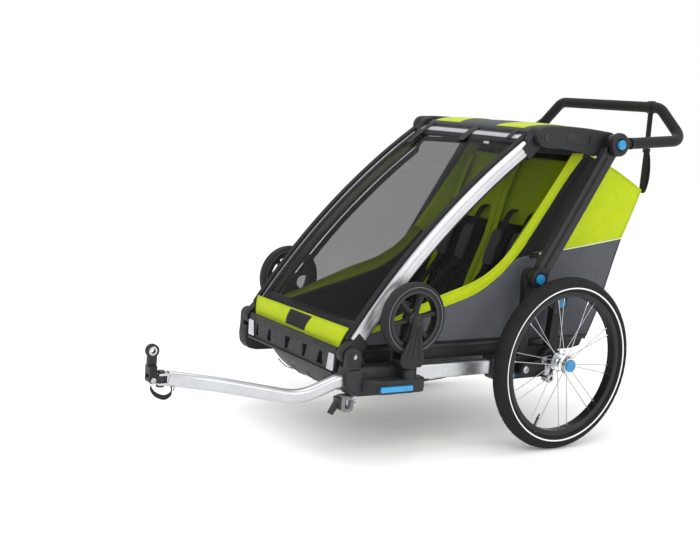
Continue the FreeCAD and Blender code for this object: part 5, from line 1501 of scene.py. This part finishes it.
BACK_LOW, BACK_HIGH = (-0.098, 0.2580), (0.092, 0.8150)
BACK_LENGTH = math.dist(BACK_LOW, BACK_HIGH)
BACK_RUN = ((BACK_HIGH[0] - BACK_LOW[0]) / BACK_LENGTH, (BACK_HIGH[1] - BACK_LOW[1]) / BACK_LENGTH)


def on_back(x, run, rise=0.0):
    """A point by its distance up the seat back, and off it to the front."""
    return at(x, BACK_LOW[0] + BACK_RUN[0] * run - BACK_RUN[1] * rise,
              BACK_LOW[1] + BACK_RUN[1] * run + BACK_RUN[0] * rise)


def pillow_mesh(place, wide, long, deep):
    """A closed pad: place turns (across, along, out) into a point."""
    verts, faces = [], []
    n, m = 14, 18

    def corner_cut(a, b):
        # the corners draw in, so the edges between them bow out a little
        u, v = 2 * a - 1, 2 * b - 1
        return u * (1 - 0.10 * v * v), v * (1 - 0.08 * u * u)

    for layer in (0, 1):
        for j in range(m + 1):
            for i in range(n + 1):
                u, v = corner_cut(i / n, j / m)
                crown = (1 - u ** 6) * (1 - v ** 6)
                out = deep * (0.22 + 0.78 * max(0.0, crown)) if layer else 0.0
                verts.append(place(u * wide / 2, (v + 1) / 2 * long, out))
    size = (n + 1) * (m + 1)
    for j in range(m):
        for i in range(n):
            k = j * (n + 1) + i
            faces.append((k, k + n + 1, k + n + 2, k + 1))
            faces.append((size + k, size + k + 1, size + k + n + 2, size + k + n + 1))
    ring = [*range(n + 1), *(j * (n + 1) + n for j in range(1, m + 1)),
            *(m * (n + 1) + i for i in range(n - 1, -1, -1)),
            *(j * (n + 1) for j in range(m - 1, 0, -1))]
    for a, b in zip(ring, ring[1:] + ring[:1]):
        faces.append((a, b, size + b, size + a))
    bm = bmesh.new()
    made = [bm.verts.new(v) for v in verts]
    for f in faces:
        bm.faces.new([made[k] for k in f])
    return mesh_from("pillow", bm)


def ready_mesh(made):
    bpy.context.view_layer.update()
    ready = made.evaluated_get(bpy.context.evaluated_depsgraph_get())
    return bpy.data.meshes.new_from_object(ready)


def stuffed(made, reach, voxel=0.006):
    """Swells a closed pad with cloth pressure; no point moves further than reach."""
    even = made.modifiers.new("even", "REMESH")
    even.mode = "VOXEL"
    even.voxel_size = voxel
    mesh = ready_mesh(made)
    made.modifiers.remove(even)
    made.data = mesh
    start = [v.co.copy() for v in mesh.vertices]
    cloth = made.modifiers.new("swell", "CLOTH")
    cloth.settings.use_pressure = True
    cloth.settings.uniform_pressure_force = 4.0
    cloth.settings.effector_weights.gravity = 0.0
    cloth.settings.mass = 0.25
    cloth.settings.quality = 5
    cloth.point_cache.frame_start = 1
    cloth.point_cache.frame_end = 20
    scene = bpy.context.scene
    scene.frame_start, scene.frame_end = 1, 20
    for number in range(1, 21):
        scene.frame_set(number)
    moved = ready_mesh(made)
    made.modifiers.remove(cloth)
    for v, w, s in zip(made.data.vertices, moved.vertices, start):
        step = w.co - s
        if step.length > reach:
            step = step.normalized() * reach
        v.co = s + step
    bpy.data.meshes.remove(moved)
    scene.frame_set(1)
    sub = made.modifiers.new("finer", "SUBSURF")
    sub.levels = sub.render_levels = 1
    mesh = ready_mesh(made)
    made.modifiers.remove(sub)
    made.data = mesh
    mesh.shade_smooth()
    return made


def creased(made, lines, width, depth):
    """Sewn channels: points near each line sink towards the pad's back."""
    for v in made.data.vertices:
        for a, b, down in lines:
            run = b - a
            t = max(0.0, min(1.0, (v.co - a).dot(run) / run.length_squared))
            far = (v.co - (a + run * t)).length
            if far < width * 3:
                v.co += down * (depth * math.exp(-(far / width) ** 2))
    return made


def pad(name, mesh, finish, reach=0.006, lines=(), stands_for=(), depth=0.004):
    made = piece(name, mesh, finish, "chassis", stands_for, angle=80)
    finishes = list(made.data.materials)
    stuffed(made, reach)
    if not made.data.materials:
        for one in finishes:
            made.data.materials.append(one)
    creased(made, lines, 0.005, depth)
    return made


def seat(side, sign):
    x = sign * SEAT_X
    back_out = Vector((0, -BACK_RUN[1], BACK_RUN[0]))
    for part, start, long in (("lower", 0.045, 0.150), ("upper", 0.200, 0.165)):
        mesh = pillow_mesh(lambda a, b, c, s=start: on_back(x + a, s + b, 0.004 + c), 0.176, long,
                           0.020)
        lines = [(on_back(x + k, start + 0.02, 0.026), on_back(x + k, start + long - 0.02, 0.026),
                  -back_out) for k in (-0.045, 0.045)]
        crumples(pad(f"back_pad_{part}_{side}", mesh, black_cloth, 0.006, lines))
    seat_top = 0.2373

    def on_seat(a, b, c):
        return at(x + a, -0.384 + b, 0.1860 + c + 0.012 * (1 - b / 0.18))

    mesh = pillow_mesh(on_seat, 0.205, 0.176, 0.044)
    lines = [(at(x + k, -0.370, seat_top), at(x + k, -0.215, seat_top), Vector((0, 0, -1)))
             for k in (-0.034, 0.034)]
    lines.append((at(x - 0.09, -0.300, seat_top), at(x + 0.09, -0.300, seat_top),
                  Vector((0, 0, -1))))
    pad(f"seat_pad_{side}", mesh, lime_inside_painted_light, 0.007, lines, ["seat_cushion"],
        0.005)

    # shoulder straps, grey pads, buckle and crotch strap
    straps = []
    chest = at(x, -0.190, 0.360)
    for k in (-1, 1):
        line = [on_back(x + k * 0.046, 0.420, 0.004), on_back(x + k * 0.046, 0.400, 0.022),
                on_back(x + k * 0.046, 0.330, 0.034),
                on_back(x + k * 0.040, 0.230, 0.044), chest + Vector((k * 0.026, 0.030, 0.030)),
                chest + Vector((k * 0.010, 0.002, 0.004))]
        straps.append(ribbon(spline(line, 40), 0.025, 0.0022, (1, 0, 0)))
        line = [chest + Vector((k * 0.012, 0.004, -0.004)),
                chest + Vector((k * 0.050, 0.035, -0.050)), at(x + k * 0.090, -0.130, 0.262)]
        straps.append(ribbon(spline(line, 24), 0.025, 0.0022, (0, 0.5, 0.86)))
        flap = pillow_mesh(lambda a, b, c, k=k: on_back(x + k * 0.046 + a, 0.225 + b,
                                                        0.040 + c * 0.8), 0.050, 0.120, 0.014)
        place = "in" if k * sign < 0 else "out"
        crumples(pad(f"shoulder_pad_{side}_{place}", flap, pad_grey, 0.004))
    line = [chest + Vector((0, 0.0, -0.006)), at(x, -0.220, 0.300), at(x, -0.262, 0.246),
            at(x, -0.300, 0.236)]
    straps.append(ribbon(spline(line, 26), 0.030, 0.0024, (1, 0, 0)))
    crumples(piece(f"harness_{side}", joined(straps, "straps"), webbing, "chassis"))
    belly = pillow_mesh(lambda a, b, c: at(x + a, -0.216 - b * 0.40, 0.352 - b - c * 0.2)
                        + Vector((0, -c, 0)), 0.074, 0.070, 0.014)
    crumples(pad(f"buckle_pad_{side}", belly, pad_grey, 0.004))
    body = prism("front", rounded([(x - 0.024, 0.344), (x + 0.024, 0.344), (x + 0.028, 0.372),
                                   (x + 0.012, 0.386), (x - 0.012, 0.386), (x - 0.028, 0.372)],
                                  0.007),
                 -0.214, -0.198, 0.004)
    button = prism("front", rounded([(x - 0.010, 0.352), (x + 0.010, 0.352), (x + 0.010, 0.372),
                                     (x - 0.010, 0.372)], 0.004), -0.2165, -0.212, 0.0015)
    crumples(piece(f"buckle_{side}", joined([body, button], "buckle"), nylon_soft, "chassis"))
    tongue = prism("front", rounded([(x - 0.014, 0.384), (x + 0.014, 0.384), (x + 0.010, 0.398),
                                     (x - 0.010, 0.398)], 0.003), -0.210, -0.206, 0.001)
    crumples(piece(f"buckle_tongue_{side}", tongue, chrome, "chassis"))
    # lime edge bands beside the seat, as the harness passes through the back
    bands = []
    for k in (-0.100, 0.100):
        line = [on_back(x + k, 0.10 + 0.47 * i / 20, 0.018 + 0.004 * math.sin(i * 0.5))
                for i in range(21)]
        bands.append(ribbon(line, 0.022, 0.0030, (1, 0, 0)))
    crumples(piece(f"seat_edge_bands_{side}", joined(bands, "bands"), lime_inside_painted_light, "chassis"))


def sling():
    """The fabric behind both seats: lime above the pads, black behind them."""
    half = 0.2270
    for name, low, high, finish, slot, stands in (("back_sling_lower", 0.0, 0.375, lining,
                                                   "fabric_black", ["seat_back"]),
                                                  ("back_sling_upper", 0.375, BACK_LENGTH,
                                                   lime_inside_painted_light, "fabric_green", [])):
        rows = []
        for j in range(31):
            run = low + (high - low) * j / 30
            row = []
            for i in range(61):
                x = -half + 2 * half * i / 60
                beside = abs(math.sin(math.pi * x / 0.226)) ** 0.8
                hollow = -0.008 * math.sin(math.pi * min(1.0, run / BACK_LENGTH)) * beside
                row.append(on_back(x, run, 0.002 + hollow * 0.6
                                   + 0.0018 * noise.noise(Vector((x * 14, run * 12, 7)))))
            rows.append(row)
        crumples(sheet(name, rows, finish, "chassis", 0.0022, stands, angle=75))
    seams = []
    for x in (-0.2, -SEAT_X, 0.0, SEAT_X, 0.2):
        seams.append(stitching([on_back(x, 0.39 + 0.19 * i / 10, 0.0040) for i in range(11)]))
    seams.append(stitching([on_back(-0.22 + 0.44 * i / 30, 0.380, 0.0042) for i in range(31)]))
    crumples(piece("sling_stitches", joined(seams, "stitches"), pale_piping, "chassis"))
    head = []
    for x in (-0.225, -0.002, 0.225):
        head.append(ribbon([on_back(x * 0.985, 0.05 + 0.52 * i / 20, 0.0075) for i in range(21)],
                           0.012, 0.0025, (1, 0, 0)))
    crumples(piece("sling_bindings", joined(head, "bindings"), black_cloth, "chassis"))
    # the inside of the cabin's upper rear corners
    for side, sign in SIDES:
        x = sign * 0.2305
        upper = spline([at(x, *p) for p in [(-0.118, 0.567), (-0.027, 0.690), (0.050, 0.800),
                                            (0.078, 0.842)]], 30)
        rear = spline([at(x, *p) for p in [(-0.060, 0.535), (0.000, 0.620), (0.080, 0.760),
                                           (0.125, 0.842)]], 30)
        crumples(sheet(f"corner_lining_{side}", between(upper, rear, 8), lime_inside_painted_light, "chassis",
                       0.001, angle=75))


sling()
for side, sign in SIDES:
    seat(side, sign)


# ---------------------------------------------------------------- tow arm fittings

def clamp():
    """The grey clamp that hangs under the tow arm's elbow, with its black lever."""
    x = TOW_X
    y0 = -0.6740
    outer = rounded([(y0 - 0.019, 0.1430), (y0 + 0.017, 0.1430), (y0 + 0.020, 0.1860),
                     (y0 - 0.020, 0.1860)], 0.011, 6)
    loop = piece("arm_clamp", prism("side", outer, x - 0.0175, x + 0.0175, 0.004, 4), clamp_grey,
                 "chassis")
    inner = rounded([(y0 - 0.0105, 0.1515), (y0 + 0.0085, 0.1515), (y0 + 0.0105, 0.1760),
                     (y0 - 0.0115, 0.1760)], 0.006, 5)
    carve(loop, prism("side", inner, x - 0.03, x + 0.03, 0))
    insert = prism("side", rounded([(y0 - 0.026, 0.1520), (y0 - 0.0175, 0.1500),
                                    (y0 - 0.018, 0.1830), (y0 - 0.030, 0.1830)], 0.004), x - 0.013,
                   x + 0.013, 0.003)
    lever = prism("side", rounded([(y0 - 0.048, 0.1400), (y0 - 0.040, 0.1360), (y0 - 0.020, 0.1640),
                                   (y0 - 0.028, 0.1740)], 0.003), x - 0.009, x + 0.009, 0.002)
    piece("arm_clamp_lever", joined([insert, lever], "lever"), nylon_soft, "chassis")
    piece("arm_clamp_screw", bolt_head(at(x + 0.0172, y0 + 0.0130, 0.1800), 0.0035, 0.0022, "x", 1),
          steel, "chassis")


def hitch():
    c = at(TOW_X, -1.196, 0.265)
    collar = turned([(-0.0195, 0.0), (-0.0195, 0.0090), (-0.0180, 0.0100), (-0.0150, 0.0100),
                     (-0.0145, 0.0)], c, "z", 32)
    cap = turned([(0.0195, 0.0), (0.0195, 0.0090), (0.0180, 0.0100), (0.0150, 0.0100),
                  (0.0145, 0.0)], c, "z", 32)
    piece("hitch_pivot_caps", joined([collar, cap], "caps"), black_metal, "hitch_yoke")
    strap = spline([at(TOW_X, -1.166, 0.246), at(0.290, -1.176, 0.232), at(0.296, -1.196, 0.226),
                    at(0.290, -1.216, 0.234), at(0.276, -1.222, 0.246)], 40)
    piece("hitch_safety_strap", ribbon(strap, 0.012, 0.0022, (0, 0, 1)), webbing, "chassis")
    ring = [at(TOW_X + 0.010 * math.cos(t), -1.1640, 0.2440 + 0.010 * math.sin(t))
            for t in [2 * math.pi * i / 28 for i in range(29)]]
    piece("hitch_ring", tube(ring, 0.0017, 8), steel, "chassis")
    heads = [bolt_head(at(TOW_X + s * 0.0155, -1.220, 0.265), 0.0068, 0.0030, "x", s)
             for s in (1, -1)]
    piece("hitch_bolts", joined(heads, "bolts"), steel, "hitch_block")
    bush = [turned(facing(s, [(0.0045, 0.0060), (0.0045, 0.0105), (0.0058, 0.0105),
                              (0.0062, 0.0095), (0.0062, 0.0060), (0.0045, 0.0060)]),
                   at(TOW_X, -1.220, 0.333), "x", 40) for s in (1, -1)]
    piece("hitch_bushes", joined(bush, "bushes"), steel, "hitch_block")


clamp()
hitch()


# ---------------------------------------------------------------- wrist strap

def wrist_strap():
    """Webbing that hangs from the crossbar and ends in a two-strand loop."""
    low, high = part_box("wrist_strap")
    x, y = (low[0] + high[0]) / 2, (low[1] + high[1]) / 2
    top, bottom = high[2], low[2]
    curve = bpy.data.curves.new("wrist_strap_webbing", "CURVE")
    curve.dimensions = "3D"
    line = curve.splines.new("NURBS")
    places = [(0.0, 0.0), (0.0005, -0.045), (0.0012, -0.100), (0.0006, -0.160), (-0.0004, -0.210),
              (0.0, -0.250)]
    line.points.add(len(places) - 1)
    for point, (dy, dz) in zip(line.points, places):
        point.co = (x, y + dy, top + dz, 1.0)
    line.order_u = 3
    line.use_endpoint_u = True
    curve.resolution_u = 12
    section = bpy.data.curves.new("webbing_section", "CURVE")
    section.dimensions = "2D"
    flat = section.splines.new("POLY")
    a, b = 0.0100, 0.0011
    corners = [(-a, -b * 0.5), (-a * 0.96, -b), (a * 0.96, -b), (a, -b * 0.5), (a, b * 0.5),
               (a * 0.96, b), (-a * 0.96, b), (-a, b * 0.5)]
    flat.points.add(len(corners) - 1)
    for point, (u, v) in zip(flat.points, corners):
        point.co = (u, v, 0, 1)
    flat.use_cyclic_u = True
    profile = bpy.data.objects.new("webbing_section", section)
    bpy.context.scene.collection.objects.link(profile)
    profile.hide_render = True
    curve.bevel_mode = "OBJECT"
    curve.bevel_object = profile
    curve.use_fill_caps = True
    curve.materials.append(webbing)
    strap = bpy.data.objects.new("wrist_strap_webbing", curve)
    bpy.context.scene.collection.objects.link(strap)
    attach(strap, "wrist_loop")
    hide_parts("wrist_strap")
    loop = spline([(x, y + 0.0020, top - 0.118), (x, y + 0.0110, top - 0.140),
                   (x, y + 0.0175, top - 0.180), (x, y + 0.0160, top - 0.215),
                   (x, y + 0.0080, top - 0.242), (x, y + 0.0015, bottom + 0.0015)], 40)
    strand = piece("wrist_loop_strand", ribbon([Vector(p) for p in loop], 0.0195, 0.0021,
                                               (1, 0, 0)), webbing, "wrist_loop")
    band = prism("plan", rounded([(x - 0.0122, y - AXLE - 0.0034), (x + 0.0122, y - AXLE - 0.0034),
                                  (x + 0.0122, y - AXLE + 0.0056), (x - 0.0122, y - AXLE + 0.0056)],
                                 0.0015),
                 top - 0.124, top - 0.110, 0.0008)
    keeper = piece("wrist_strap_keeper", band, nylon_soft, "wrist_loop")
    wrap = [Vector((x, y + 0.0187 * math.sin(t), 0.996 + 0.0187 * math.cos(t)))
            for t in [2 * math.pi * i / 40 for i in range(41)]]
    piece("wrist_strap_wrap", ribbon(wrap, 0.020, 0.0018, (1, 0, 0)), webbing, "handle")


wrist_strap()


# ---------------------------------------------------------------- floor, light and camera

def floor():
    mesh = mesh_of("studio_floor", [(-14, -14, 0), (14, -14, 0), (14, 14, 0), (-14, 14, 0)],
                   [(0, 1, 2, 3)])
    made = bpy.data.objects.new("studio_floor", mesh)
    bpy.context.scene.collection.objects.link(made)
    pale = Finish("pale_floor", (0.93, 0.93, 0.93, 1), 0.75, specular=0.1)
    pale.mottled(1.5, 0.004).grained(60, 0.02, 0.001)
    pale.shader.inputs["Emission Color"].default_value = (1, 1, 1, 1)
    pale.shader.inputs["Emission Strength"].default_value = 0.10
    mesh.materials.append(pale.done())


def lamp(name, place, aim, size, power, tint=(1, 1, 1)):
    light = bpy.data.lights.new(name, "AREA")
    light.shape = "RECTANGLE"
    light.size, light.size_y = size
    light.energy = power
    light.color = tint
    made = bpy.data.objects.new(name, light)
    bpy.context.scene.collection.objects.link(made)
    made.location = place
    made.rotation_euler = (Vector(aim) - Vector(place)).to_track_quat("-Z", "Y").to_euler()


def studio():
    world = bpy.context.scene.world or bpy.data.worlds.new("studio")
    bpy.context.scene.world = world
    world.use_nodes = True
    background = world.node_tree.nodes["Background"]
    background.inputs["Color"].default_value = (1, 1, 1, 1)
    background.inputs["Strength"].default_value = 1.0
    lamp("key", (2.6, -2.4, 3.4), (0, 0.2, 0.4), (2.6, 2.6), 60)
    lamp("side", (3.6, 1.6, 1.8), (0.2, 0.3, 0.5), (1.6, 2.4), 28)
    lamp("top", (0.0, 0.4, 4.2), (0, 0.2, 0.3), (3.0, 3.0), 45)


def camera():
    """The camera: its place, turn, tilt, roll and lens."""
    place = Vector((2.6092, -2.2503 + AXLE, 0.9231))
    turn, tilt, roll = math.radians(56.361), math.radians(8.474), math.radians(4.540)
    ahead = Vector((-math.sin(turn) * math.cos(tilt), math.cos(turn) * math.cos(tilt),
                    -math.sin(tilt)))
    right = Vector((math.cos(turn), math.sin(turn), 0))
    up = right.cross(ahead)
    x = right * math.cos(roll) + up * math.sin(roll)
    y = up * math.cos(roll) - right * math.sin(roll)
    data = bpy.data.cameras.new("camera")
    data.lens = 57.364
    data.sensor_width = 36.0
    data.shift_x, data.shift_y = 0.0027, 0.0075
    made = bpy.data.objects.new("camera", data)
    bpy.context.scene.collection.objects.link(made)
    matrix = Matrix((x, y, -ahead)).transposed().to_4x4()
    matrix.translation = place
    made.matrix_world = matrix
    bpy.context.scene.camera = made


floor()
studio()
camera()
bpy.context.scene.view_settings.view_transform = "Standard"
bpy.context.view_layer.update()
